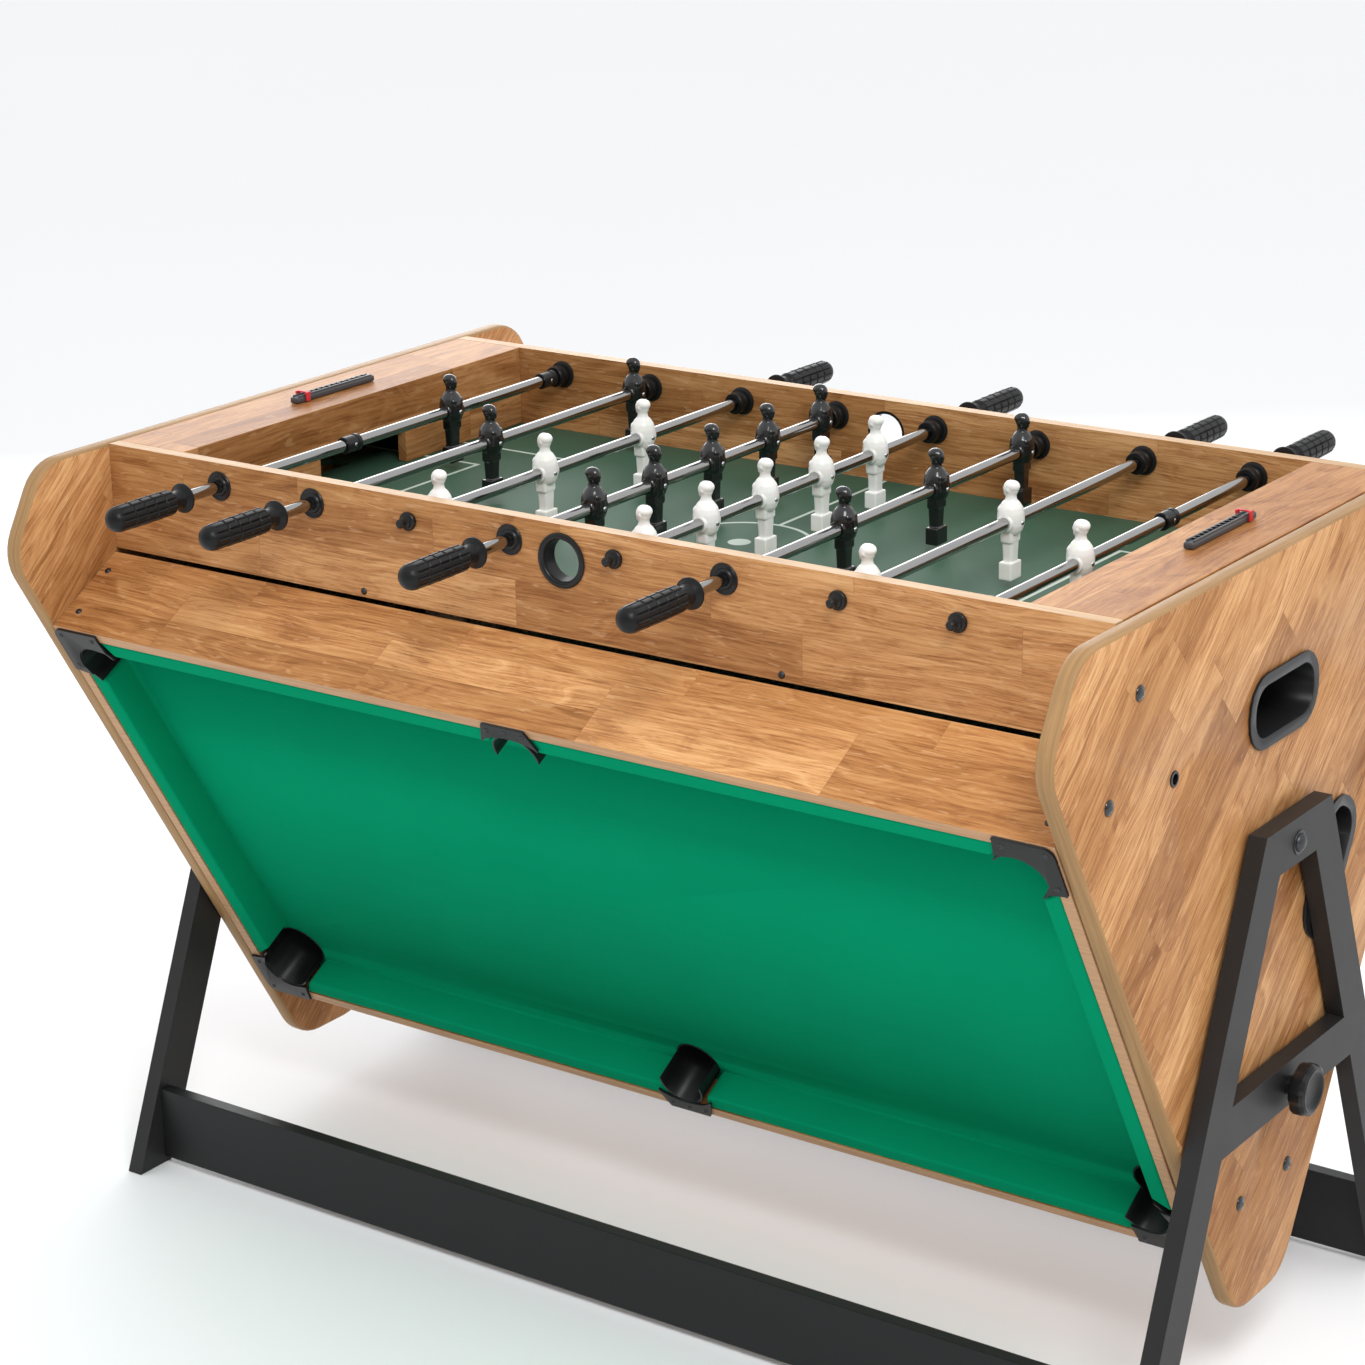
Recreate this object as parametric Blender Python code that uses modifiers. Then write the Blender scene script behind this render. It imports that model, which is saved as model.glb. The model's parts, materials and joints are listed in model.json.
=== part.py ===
"""Rotating three-game table: table football, pool and glide hockey on one turning cabinet.

Metres, +X along the table, +Y to the back, +Z up, origin on the floor under the middle.
The cabinet is three shallow boxes round one pivot line, closed by two end panels, and it
hangs between two A-frames. Each box is drawn in its own frame as if it were on top:
x along the table, y across it, z straight out from the pivot line.
"""

from math import atan2, cos, pi, radians, sin, sqrt, tan

import bmesh
import bpy
from mathutils import Matrix, Vector

# ---- driving sizes -------------------------------------------------------------------------
PIVOT_HEIGHT = 0.560  # pivot line above the floor
INNER_HALF = 0.592  # middle to the inside of an end panel
HALF_WIDTH = 0.298  # middle to the outside of a long wall
FACE_OUT = 0.287  # pivot line to the rim of each box
PANEL_THICK = 0.019
APRON_THICK = 0.015  # long walls of the football box
WALL_THICK = 0.012  # walls of the pool and hockey boxes
CLEAR = 0.0003  # gap between touching pieces
SEAM = 0.0025  # shadow gap between neighbouring boxes

NOSE_OUT = 0.483  # pivot line to each blunt corner of an end panel
NOSE_RADIUS = 0.052
PANEL_EDGE_ROUND = 0.004
INDEX_RADIUS = 0.250  # pivot line to each lock hole
GAME_ANGLES = {"football": 0.0, "pool": 120.0, "hockey": -120.0}

FRAME_THICK = 0.019  # A-frames
FRAME_GAP = 0.0035  # end panel to A-frame, so that the return rims pass behind the frame
FRAME_TOP = 0.026  # above the pivot line
FRAME_TOP_HALF = 0.070
FRAME_FOOT_HALF = 0.308
LEG_WIDTH = 0.050  # measured level
RAIL_DEPTH = 0.047  # top rail and cross rail
CROSS_RAIL_TOP = 0.025 - INDEX_RADIUS  # so that the lock knob runs through the rail
STRETCHER_BACK = 0.252  # middle to the near face of a stretcher
STRETCHER_THICK = 0.016
STRETCHER_TOP = 0.090
STRETCHER_LIFT = 0.007

BOLT_RADIUS = 0.006
BOLT_HEAD_RADIUS = 0.012
BOLT_HEAD = 0.005
BOLT_NUT_RADIUS = 0.011
BOLT_NUT = 0.008
BOLT_END = 0.005  # thread showing past the nut
BOLT_NUT_GAP = 0.004  # end panel to nut
KNOB_RADIUS = 0.027
KNOB_HEAD = 0.018
KNOB_EDGE = 0.004  # the rounding of its rims, and the depth of the dish in its face
KNOB_STAND_OFF = 0.009  # head to A-frame at rest, which is also the room to push it in
KNOB_NECK_RADIUS = 0.009
KNOB_TIP_RADIUS = 0.005
KNOB_TIP_GAP = 0.0013

ROD_COUNT = 8
ROD_SPACING = 0.125
ROD_DROP = 0.024  # rim to rod line
TUBE_RADIUS = 0.00635
TUBE_BORE = 0.0050
INNER_ROD_RADIUS = 0.0045
ROD_HOLE_RADIUS = 0.0085
NUB_RADIUS = 0.0095
NUB_LENGTH = 0.011
FIELD_DROP = 0.090  # rim to playfield
FIELD_THICK = 0.006
LEDGE_WIDTH = 0.092
LEDGE_THICK = 0.012
GOAL_HALF = 0.072
GOAL_HEIGHT = 0.038
GOAL_DROP = (0.036, 0.078)  # hole in the playfield behind each goal, over the slot in its return
STOP_OFFSET = HALF_WIDTH - 0.048  # middle to the outermost man or stop collar when a rod is pushed in
MAN_HEAD = 0.041  # above the rod line
MAN_FOOT = 0.058  # below the rod line
MAN_KNEE = 0.040  # rod line to the top of the toe block
MAN_HALF = 0.0115
COLLAR_RADIUS = 0.0092  # stop collars on the keepers' rods
COLLAR_HALF = 0.0115
HANDLE_NECK_RADIUS = 0.0095
HANDLE_CAP = 0.008  # solid end past the tube
HANDLE_TIP = HALF_WIDTH + 0.160  # middle to the end of a pushed-in handle
HANDLE_LENGTH = 0.108
HANDLE_RADIUS = 0.013
HANDLE_RING_RADIUS = 0.0155

# Men across each rod, the spread between the outermost two stops, and the side of its handle.
FORMATIONS = {
    1: {"team": "black", "men": 1, "spread": 0.344},
    2: {"team": "black", "men": 2, "spread": 0.260},
    3: {"team": "white", "men": 3, "spread": 0.344},
    4: {"team": "black", "men": 5, "spread": 0.412},
    5: {"team": "white", "men": 5, "spread": 0.412},
    6: {"team": "black", "men": 3, "spread": 0.344},
    7: {"team": "white", "men": 2, "spread": 0.260},
    8: {"team": "white", "men": 1, "spread": 0.344},
}

SERVE_DROP = 0.0355
SERVE_RADIUS = 0.020
SERVE_WALL = 0.003
SERVE_FLANGE = 0.0275
SERVE_FLANGE_THICK = 0.003
RETURN_DROP = 0.150  # rim to the middle of a ball return
RETURN_UNDER = 0.0375  # least from the underside of a box to the middle of a return
RETURN_LENGTH = 0.145
RETURN_HEIGHT = 0.074
RETURN_RIM = 0.009
RETURN_RIM_THICK = 0.0025
RETURN_DEPTH = 0.062
RETURN_WALL = 0.0025
RETURN_SLOT_HALF = 0.030
SCORE_LENGTH = 0.130
SCORE_WIDTH = 0.011
SCORE_HEIGHT = 0.009
SCORE_INSET = 0.051  # end panel to the middle of a score rail
MARKER_LENGTH = 0.008
MARKER_WALL = 0.002
MARKER_GAP = 0.0005
MARKER_START = 0.049  # middle of the table to a marker at rest, towards its own team's side

BED_DROP = 0.036  # rim to the pool bed
BED_THICK = 0.012
CUSHION_WIDTH = 0.020
CORNER_HOLE = 0.027
CORNER_INSET = (0.033, 0.038)  # inner corner of the box to the middle of the hole, x and y
SIDE_HOLE = 0.024
SIDE_INSET = 0.028
CUP_WALL = 0.002
CUP_DEPTH = 0.078
PLATE_THICK = 0.0025
PLATE_ARM = 0.064
PLATE_WIDTH = 0.024
PLATE_CORNER = 0.010
PLATE_INSET = 0.001
PLATE_LIFT = 0.0008
SIDE_PLATE_HALF = 0.025  # along the rail, at a side plate's outer edge
SIDE_HOLLOW = (0.034, 0.0095)  # half the length of its inner edge, and where its hollow starts
RINK_DROP = 0.022
RINK_THICK = 0.006
RINK_GOAL_HALF = 0.075
RINK_SLOT = 0.026
RINK_SLOT_INSET = 0.006

ROUND_STEPS = 24
CORNER_STEPS = 4
ROD_STEPS = 12
MAN_STEPS = 10
SHARP_ANGLE = radians(35)

# ---- what follows from them ----------------------------------------------------------------
BOX_INNER = HALF_WIDTH / sqrt(3.0) + SEAM  # pivot line to the underside of each box
ROD_OUT = FACE_OUT - ROD_DROP
FIELD_OUT = FACE_OUT - FIELD_DROP
BED_OUT = FACE_OUT - BED_DROP
RINK_OUT = FACE_OUT - RINK_DROP
RETURN_OUT = min(FACE_OUT - RETURN_DROP, BOX_INNER - RETURN_UNDER)
PANEL_OUT = INNER_HALF + PANEL_THICK
FRAME_IN = PANEL_OUT + FRAME_GAP
FRAME_OUT = FRAME_IN + FRAME_THICK
LEDGE_IN = INNER_HALF - LEDGE_WIDTH
WALL_IN_X = INNER_HALF - CLEAR - WALL_THICK
WALL_IN_Y = HALF_WIDTH - WALL_THICK
NOSE_X = WALL_IN_X - CUSHION_WIDTH
NOSE_Y = WALL_IN_Y - CUSHION_WIDTH
SCORE_X = INNER_HALF - SCORE_INSET

parts = None
helpers = None


def start():
    """Empties the scene and makes the two collections."""
    global parts, helpers
    for obj in list(bpy.data.objects):
        bpy.data.objects.remove(obj, do_unlink=True)
    parts = bpy.data.collections.new("rotating_game_table")
    helpers = bpy.data.collections.new("cutters_and_frames")
    bpy.context.scene.collection.children.link(parts)
    bpy.context.scene.collection.children.link(helpers)


def coloured(name, colour, roughness, metallic=0.0):
    made = bpy.data.materials.new(name)
    made.use_nodes = True
    shader = made.node_tree.nodes["Principled BSDF"]
    shader.inputs["Base Color"].default_value = (*colour, 1.0)
    shader.inputs["Roughness"].default_value = roughness
    shader.inputs["Metallic"].default_value = metallic
    return made


def empty(name, matrix, parent=None):
    made = bpy.data.objects.new(name, None)
    helpers.objects.link(made)
    made.parent = parent
    made.matrix_local = matrix
    return made


def place(obj, name, material, parent=None, matrix=None, collection=None):
    """Names an object, gives it a material, a parent and a place, and files it with the parts."""
    obj.name = name
    obj.data.name = name
    obj.data.materials.clear()
    if material:
        obj.data.materials.append(material)
    for old in list(obj.users_collection):
        old.objects.unlink(obj)
    (collection or parts).objects.link(obj)
    obj.parent = parent
    obj.matrix_local = matrix or Matrix()
    return obj


# ---- outlines and basic shapes -------------------------------------------------------------


def circle(x, y, radius, steps=ROUND_STEPS):
    angles = [2 * pi * i / steps for i in range(steps)]
    return [(x + radius * cos(a), y + radius * sin(a)) for a in angles]


def rounded(corners, radius, steps=CORNER_STEPS):
    """The polygon with each corner turned into an arc; radius is one number or one for each."""
    count = len(corners)
    radii = radius if isinstance(radius, (list, tuple)) else [radius] * count
    points = []
    for i, corner in enumerate(corners):
        here = Vector(corner)
        back = (Vector(corners[i - 1]) - here).normalized()
        ahead = (Vector(corners[(i + 1) % count]) - here).normalized()
        if radii[i] <= 0:
            points.append(tuple(here))
            continue
        half = back.angle(ahead) / 2
        centre = here + (back + ahead).normalized() * (radii[i] / sin(half))
        first = here + back * (radii[i] / tan(half)) - centre
        last = here + ahead * (radii[i] / tan(half)) - centre
        sweep = atan2(first.x * last.y - first.y * last.x, first.dot(last))
        for step in range(steps + 1):
            turned = Matrix.Rotation(sweep * step / steps, 2) @ first
            points.append(tuple(centre + turned))
    return points


def rectangle(half_x, half_y, x=0.0, y=0.0, radius=0.0, steps=CORNER_STEPS):
    corners = [
        (x - half_x, y - half_y),
        (x + half_x, y - half_y),
        (x + half_x, y + half_y),
        (x - half_x, y + half_y),
    ]
    return rounded(corners, radius, steps) if radius else corners


def slab(name, outlines, thick, material, parent=None, matrix=None, edge_round=0.0, collection=None):
    """A flat outline with holes, standing on its local z = 0 and thick upwards, as a mesh."""
    curve = bpy.data.curves.new(name, "CURVE")
    curve.dimensions = "2D"
    curve.fill_mode = "BOTH"
    curve.extrude = thick / 2 - edge_round
    if edge_round:
        curve.bevel_depth = edge_round
        curve.bevel_resolution = 1
        curve.offset = -edge_round
    for outline in outlines:
        spline = curve.splines.new("POLY")
        spline.points.add(len(outline) - 1)
        for point, (x, y) in zip(spline.points, outline):
            point.co = (x, y, 0.0, 1.0)
        spline.use_cyclic_u = True
    drawn = bpy.data.objects.new(name, curve)
    helpers.objects.link(drawn)
    bpy.context.view_layer.update()
    graph = bpy.context.evaluated_depsgraph_get()
    mesh = bpy.data.meshes.new_from_object(drawn.evaluated_get(graph))
    bpy.data.objects.remove(drawn, do_unlink=True)
    shape = bmesh.new()
    shape.from_mesh(mesh)
    bmesh.ops.remove_doubles(shape, verts=shape.verts, dist=0.000005)
    bmesh.ops.translate(shape, verts=shape.verts, vec=(0, 0, thick / 2))
    bmesh.ops.recalc_face_normals(shape, faces=shape.faces)
    shape.to_mesh(mesh)
    shape.free()
    mesh.shade_smooth()
    mesh.set_sharp_from_angle(angle=SHARP_ANGLE)
    return place(bpy.data.objects.new(name, mesh), name, material, parent, matrix, collection)


def turned(name, profile, material, parent=None, matrix=None, steps=ROUND_STEPS, collection=None):
    """A shape turned about local z. The profile is (radius, z), down its outer side.
    A profile that starts and ends off the axis is a closed ring."""
    mesh = bpy.data.meshes.new(name)
    shape = bmesh.new()
    points = [shape.verts.new((radius, 0.0, z)) for radius, z in profile]
    for first, second in zip(points, points[1:]):
        shape.edges.new((first, second))
    if profile[0][0] > 0:
        shape.edges.new((points[-1], points[0]))
    shape.to_mesh(mesh)
    shape.free()
    obj = place(bpy.data.objects.new(name, mesh), name, material, parent, matrix, collection)
    screw = obj.modifiers.new("turned", "SCREW")
    screw.steps = steps
    screw.render_steps = steps
    screw.use_merge_vertices = True
    screw.merge_threshold = 0.00001
    screw.use_normal_calculate = False
    mesh.shade_smooth()
    return obj


def block(name, low, high, material=None, parent=None, collection=None):
    """A box between two corners of its parent's frame."""
    mesh = bpy.data.meshes.new(name)
    shape = bmesh.new()
    bmesh.ops.create_cube(shape, size=1.0)
    size = Vector(high) - Vector(low)
    middle = (Vector(high) + Vector(low)) / 2
    bmesh.ops.scale(shape, verts=shape.verts, vec=size)
    bmesh.ops.translate(shape, verts=shape.verts, vec=middle)
    shape.to_mesh(mesh)
    shape.free()
    return place(bpy.data.objects.new(name, mesh), name, material, parent, None, collection)


def combine(target, others, operation):
    """Adds one exact Boolean for each other object, which becomes a hidden helper."""
    for other in others:
        for old in list(other.users_collection):
            old.objects.unlink(other)
        helpers.objects.link(other)
        other.hide_render = True
        other.display_type = "WIRE"
        step = target.modifiers.new(other.name, "BOOLEAN")
        step.operation = operation
        step.solver = "EXACT"
        step.object = other
    return target


def facing_x(x, side=1):
    """Local x to +Y, y to +Z, z to +X, starting at x; side -1 faces -X with y still up."""
    if side > 0:
        return Matrix(((0, 0, 1, x), (1, 0, 0, 0), (0, 1, 0, 0), (0, 0, 0, 1)))
    return Matrix(((0, 0, -1, x), (-1, 0, 0, 0), (0, 1, 0, 0), (0, 0, 0, 1)))


def facing_y(y, side=1):
    """Local z to +Y or -Y, starting at y, with local y up."""
    if side > 0:
        return Matrix(((-1, 0, 0, 0), (0, 0, 1, y), (0, 1, 0, 0), (0, 0, 0, 1)))
    return Matrix(((1, 0, 0, 0), (0, 0, -1, y), (0, 1, 0, 0), (0, 0, 0, 1)))


def at(x=0.0, y=0.0, z=0.0):
    return Matrix.Translation((x, y, z))


def side_name(side):
    return "right" if side > 0 else "left"


def end_name(side):
    return "rear" if side > 0 else "front"


def turned_point(x, y, degrees):
    angle = radians(degrees)
    return (x * cos(angle) - y * sin(angle), x * sin(angle) + y * cos(angle))


# ---- stand ---------------------------------------------------------------------------------


def leg_edge(z, outer):
    """Half the A-frame's width at height z over the pivot line, outside or inside its legs."""
    slope = (FRAME_FOOT_HALF - FRAME_TOP_HALF) / (FRAME_TOP + PIVOT_HEIGHT)
    half = FRAME_TOP_HALF + slope * (FRAME_TOP - z)
    return half if outer else half - LEG_WIDTH


def make_stand(pivot, paint):
    floor = -PIVOT_HEIGHT
    rail_under = FRAME_TOP - RAIL_DEPTH
    cross_under = CROSS_RAIL_TOP - RAIL_DEPTH
    outline = [
        (-leg_edge(floor, True), floor),
        (-leg_edge(floor, False), floor),
        (-leg_edge(cross_under, False), cross_under),
        (leg_edge(cross_under, False), cross_under),
        (leg_edge(floor, False), floor),
        (leg_edge(floor, True), floor),
        (FRAME_TOP_HALF, FRAME_TOP),
        (-FRAME_TOP_HALF, FRAME_TOP),
    ]
    window = [
        (-leg_edge(CROSS_RAIL_TOP, False), CROSS_RAIL_TOP),
        (leg_edge(CROSS_RAIL_TOP, False), CROSS_RAIL_TOP),
        (leg_edge(rail_under, False), rail_under),
        (-leg_edge(rail_under, False), rail_under),
    ]
    holes = [
        circle(0, 0, BOLT_RADIUS + CLEAR),
        circle(0, -INDEX_RADIUS, KNOB_NECK_RADIUS + CLEAR),
    ]
    for side in (-1, 1):
        name = f"{side_name(side)}_a_frame"
        slab(name, [outline, window, *holes], FRAME_THICK, paint, pivot, facing_x(side * FRAME_IN, side))
    for side in (-1, 1):
        near, far = STRETCHER_BACK, STRETCHER_BACK + STRETCHER_THICK
        low = (-FRAME_IN + CLEAR, min(side * near, side * far), floor + STRETCHER_LIFT)
        high = (FRAME_IN - CLEAR, max(side * near, side * far), floor + STRETCHER_TOP)
        block(f"{end_name(side)}_stretcher", low, high, paint, pivot)


def make_pivot_bolts(pivot, steel):
    nut_start = INNER_HALF - BOLT_NUT_GAP
    nut_end = nut_start - BOLT_NUT
    head = FRAME_OUT + CLEAR
    profile = [
        (0, head + BOLT_HEAD),
        (BOLT_HEAD_RADIUS * 0.6, head + BOLT_HEAD * 0.85),
        (BOLT_HEAD_RADIUS, head + BOLT_HEAD * 0.3),
        (BOLT_HEAD_RADIUS, head),
        (BOLT_RADIUS, head),
        (BOLT_RADIUS, nut_start),
        (BOLT_NUT_RADIUS, nut_start),
        (BOLT_NUT_RADIUS, nut_end),
        (BOLT_RADIUS, nut_end),
        (BOLT_RADIUS, nut_end - BOLT_END),
        (0, nut_end - BOLT_END),
    ]
    for side in (-1, 1):
        turned(f"{side_name(side)}_pivot_bolt", profile, steel, pivot, facing_x(0, side))


def make_lock_knobs(pivot, plastic):
    head_back = FRAME_OUT + KNOB_STAND_OFF
    head_front = head_back + KNOB_HEAD
    neck_end = FRAME_IN + KNOB_STAND_OFF
    profile = [
        (0, head_front - KNOB_EDGE),
        (KNOB_RADIUS * 0.62, head_front - KNOB_EDGE / 2),
        (KNOB_RADIUS - 0.006, head_front),
        (KNOB_RADIUS, head_front - KNOB_EDGE),
        (KNOB_RADIUS, head_back + KNOB_EDGE),
        (KNOB_RADIUS - KNOB_EDGE, head_back),
        (KNOB_NECK_RADIUS, head_back),
        (KNOB_NECK_RADIUS, neck_end),
        (KNOB_TIP_RADIUS, neck_end),
        (KNOB_TIP_RADIUS, PANEL_OUT + KNOB_TIP_GAP),
        (0, PANEL_OUT + KNOB_TIP_GAP),
    ]
    for side in (-1, 1):
        matrix = facing_x(0, side)
        matrix.translation = (0, 0, -INDEX_RADIUS)
        turned(f"{side_name(side)}_lock_knob", profile, plastic, pivot, matrix)


# ---- cabinet -------------------------------------------------------------------------------


def panel_outline():
    """Three long edges on the box faces and three short ones across the blunt corners."""
    corners = []
    for k in range(6):
        here, after = radians(90 + 60 * k), radians(150 + 60 * k)
        out, out_after = (FACE_OUT, NOSE_OUT) if k % 2 == 0 else (NOSE_OUT, FACE_OUT)
        turn = sin(after - here)
        x = (out * sin(after) - out_after * sin(here)) / turn
        y = (out_after * cos(here) - out * cos(after)) / turn
        corners.append((x, y))
    return rounded(corners, NOSE_RADIUS, 6)


def return_outline(game, grow):
    """The oval of a ball return, turned to its game's box, in the plane of an end panel."""
    half_x, half_y = RETURN_LENGTH / 2 + grow, RETURN_HEIGHT / 2 + grow
    points = rectangle(half_x, half_y, 0, RETURN_OUT, half_y - 0.003, 5)
    return [turned_point(x, y, GAME_ANGLES[game]) for x, y in points]


def mirrored(outline, side):
    """An outline seen from outside the left panel is left for right."""
    return [(side * x, y) for x, y in outline]


def make_panels(cabinet, oak):
    holes = [circle(0, 0, BOLT_RADIUS + CLEAR)]
    for angle in (-90, 30, 150):
        spot = turned_point(INDEX_RADIUS, 0, angle)
        holes.append(circle(*spot, KNOB_TIP_RADIUS + CLEAR, 16))
    for game in ("football", "hockey"):
        holes.append(return_outline(game, -RETURN_RIM + 2 * CLEAR))
    for side in (-1, 1):
        outlines = [mirrored(outline, side) for outline in [panel_outline(), *holes]]
        name = f"{side_name(side)}_end_panel"
        matrix = facing_x(side * INNER_HALF, side)
        slab(name, outlines, PANEL_THICK, oak, cabinet, matrix, PANEL_EDGE_ROUND)


def make_return_cups(cabinet, plastic):
    """An oval cup through each end panel, open outwards, with a slot in its roof for the ball."""
    outer = PANEL_OUT + CLEAR
    floor_at = outer - RETURN_DEPTH
    overlap, margin = 0.001, 0.01
    for game in ("football", "hockey"):
        turn = empty(f"{game}_returns", Matrix.Rotation(radians(GAME_ANGLES[game]), 4, "X"), cabinet)
        for side in (-1, 1):
            name = f"{game}_return_{side_name(side)}"
            flange, sleeve, bore = (
                mirrored(return_outline(game, -grow), side)
                for grow in (0, RETURN_RIM, RETURN_RIM + RETURN_WALL)
            )
            cup = slab(name, [flange], RETURN_RIM_THICK, plastic, cabinet, facing_x(side * outer, side))
            body = slab(name + "_body", [sleeve], RETURN_DEPTH + overlap, None, cabinet,
                        facing_x(side * floor_at, side), 0, helpers)
            room = slab(name + "_room", [bore], RETURN_DEPTH + margin, None, cabinet,
                        facing_x(side * (floor_at + RETURN_WALL), side), 0, helpers)
            ends = sorted((side * (floor_at + 0.004), side * (INNER_HALF - 0.003)))
            slot = block(name + "_slot", (ends[0], -RETURN_SLOT_HALF, RETURN_OUT),
                         (ends[1], RETURN_SLOT_HALF, FACE_OUT), None, turn, helpers)
            combine(cup, [body], "UNION")
            combine(cup, [room, slot], "DIFFERENCE")


# ---- football box --------------------------------------------------------------------------


def rod_x(k):
    return (k - (ROD_COUNT + 1) / 2) * ROD_SPACING


def make_football_box(cabinet, oak, green):
    half_x = INNER_HALF - CLEAR
    half_y = HALF_WIDTH - APRON_THICK - CLEAR
    height = (FACE_OUT - BOX_INNER) / 2
    middle = (FACE_OUT + BOX_INNER) / 2
    wall = rectangle(half_x, height, 0, middle)
    holes = [circle(rod_x(k), ROD_OUT, ROD_HOLE_RADIUS, 16) for k in range(1, ROD_COUNT + 1)]
    serve = circle(0, FACE_OUT - SERVE_DROP, SERVE_RADIUS + SERVE_WALL + CLEAR)
    for side in (-1, 1):
        name = f"football_{end_name(side)}_apron"
        matrix = facing_y(side * (HALF_WIDTH - APRON_THICK), side)
        slab(name, [wall, *holes, serve], APRON_THICK, oak, cabinet, matrix)
    drop_x = INNER_HALF - 0.005 - GOAL_DROP[0] / 2
    drops = [
        rectangle(GOAL_DROP[0] / 2, GOAL_DROP[1] / 2, side * drop_x, 0, 0.010) for side in (-1, 1)
    ]
    field = rectangle(half_x, half_y)
    slab("playfield", [field, *drops], FIELD_THICK, green, cabinet, at(z=FIELD_OUT - FIELD_THICK))
    for side in (-1, 1):
        make_goal_box(cabinet, oak, side, half_y)


def make_goal_box(cabinet, oak, side, half_y):
    """The ledge at one end of the pitch, with the goal wall under it."""
    base = FIELD_OUT + CLEAR
    ledge_under = FACE_OUT - LEDGE_THICK
    end = INNER_HALF - CLEAR
    back = LEDGE_IN + LEDGE_THICK
    outline = [(LEDGE_IN, base), (back, base), (back, ledge_under), (end, ledge_under),
               (end, FACE_OUT), (LEDGE_IN, FACE_OUT)]
    along_y = Matrix(((side, 0, 0, 0), (0, 0, side, -side * half_y), (0, 1, 0, 0), (0, 0, 0, 1)))
    name = f"football_{side_name(side)}_goal_box"
    made = slab(name, [outline], 2 * half_y, oak, cabinet, along_y)
    margin = 0.01
    reach = sorted((side * (LEDGE_IN - margin), side * (back + margin)))
    mouth = block(name + "_mouth", (reach[0], -GOAL_HALF, base - margin),
                  (reach[1], GOAL_HALF, FIELD_OUT + GOAL_HEIGHT), None, cabinet, helpers)
    combine(made, [mouth], "DIFFERENCE")


def make_serve_rings(cabinet, plastic):
    base = HALF_WIDTH + CLEAR
    inside = HALF_WIDTH - APRON_THICK
    profile = [
        (SERVE_FLANGE - 0.002, base + SERVE_FLANGE_THICK),
        (SERVE_FLANGE, base),
        (SERVE_RADIUS + SERVE_WALL, base),
        (SERVE_RADIUS + SERVE_WALL, inside),
        (SERVE_RADIUS, inside),
        (SERVE_RADIUS + 0.001, base + SERVE_FLANGE_THICK),
    ]
    for side in (-1, 1):
        matrix = facing_y(0, side)
        matrix.translation = (0, 0, FACE_OUT - SERVE_DROP)
        turned(f"{end_name(side)}_serve_ring", profile, plastic, cabinet, matrix)


def make_scorers(cabinet, grey, red):
    """A score rail on each ledge, with a marker that straddles it and slides along."""
    base = FACE_OUT + CLEAR
    for side in (-1, 1):
        x = side * SCORE_X
        name = f"score_rail_{side_name(side)}"
        slab(name, [rectangle(SCORE_WIDTH / 2, SCORE_LENGTH / 2, 0, 0, 0.004)], SCORE_HEIGHT, grey,
             cabinet, at(x, 0, base), 0.001)
        start_y = side * MARKER_START
        inside = SCORE_WIDTH / 2 + MARKER_GAP
        outside = inside + MARKER_WALL
        top = SCORE_HEIGHT + MARKER_GAP
        clip = [(-outside, MARKER_GAP), (-inside, MARKER_GAP), (-inside, top), (inside, top),
                (inside, MARKER_GAP), (outside, MARKER_GAP), (outside, top + MARKER_WALL),
                (-outside, top + MARKER_WALL)]
        along = Matrix(((1, 0, 0, x), (0, 0, -1, start_y + MARKER_LENGTH / 2), (0, 1, 0, base),
                        (0, 0, 0, 1)))
        slab(f"score_marker_{side_name(side)}", [clip], MARKER_LENGTH, red, cabinet, along)


# ---- rods ----------------------------------------------------------------------------------


def rod_matrix(k):
    """Local z points to the handle's end, so front handles (the black team's) face -Y."""
    side = -1 if FORMATIONS[k]["team"] == "black" else 1
    matrix = facing_y(0, side)
    matrix.translation = (rod_x(k), 0, ROD_OUT)
    return matrix


def men_offsets(k):
    """Middles of the men along local z when the rod is pushed in."""
    plan = FORMATIONS[k]
    middle = plan["spread"] / 2 - STOP_OFFSET
    if plan["men"] == 1:
        return [middle]
    step = plan["spread"] / (plan["men"] - 1)
    return [middle - plan["spread"] / 2 + step * i for i in range(plan["men"])]


def man_parts(name, z, cabinet, matrix):
    """Torso, head and foot of a man standing on the rod line at local z."""
    trunk = [(0.0, MAN_HEAD), (0.006, MAN_HEAD - 0.002), (0.0075, MAN_HEAD - 0.009),
             (0.0045, MAN_HEAD - 0.018), (MAN_HALF, 0.010), (MAN_HALF, -0.010), (0.0085, -0.024),
             (0.0080, -MAN_KNEE), (0.0, -MAN_KNEE)]
    upright = matrix @ at(0, 0, z) @ Matrix.Rotation(radians(-90), 4, "X")
    body = turned(name + "_trunk", trunk, None, cabinet, upright, MAN_STEPS, helpers)
    foot = slab(name + "_foot", [rectangle(0.0065, 0.0105, 0, 0, 0.002, 1)],
                MAN_FOOT - MAN_KNEE + 0.001, None, cabinet, upright @ at(z=-MAN_FOOT), 0, helpers)
    return [body, foot]


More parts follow.
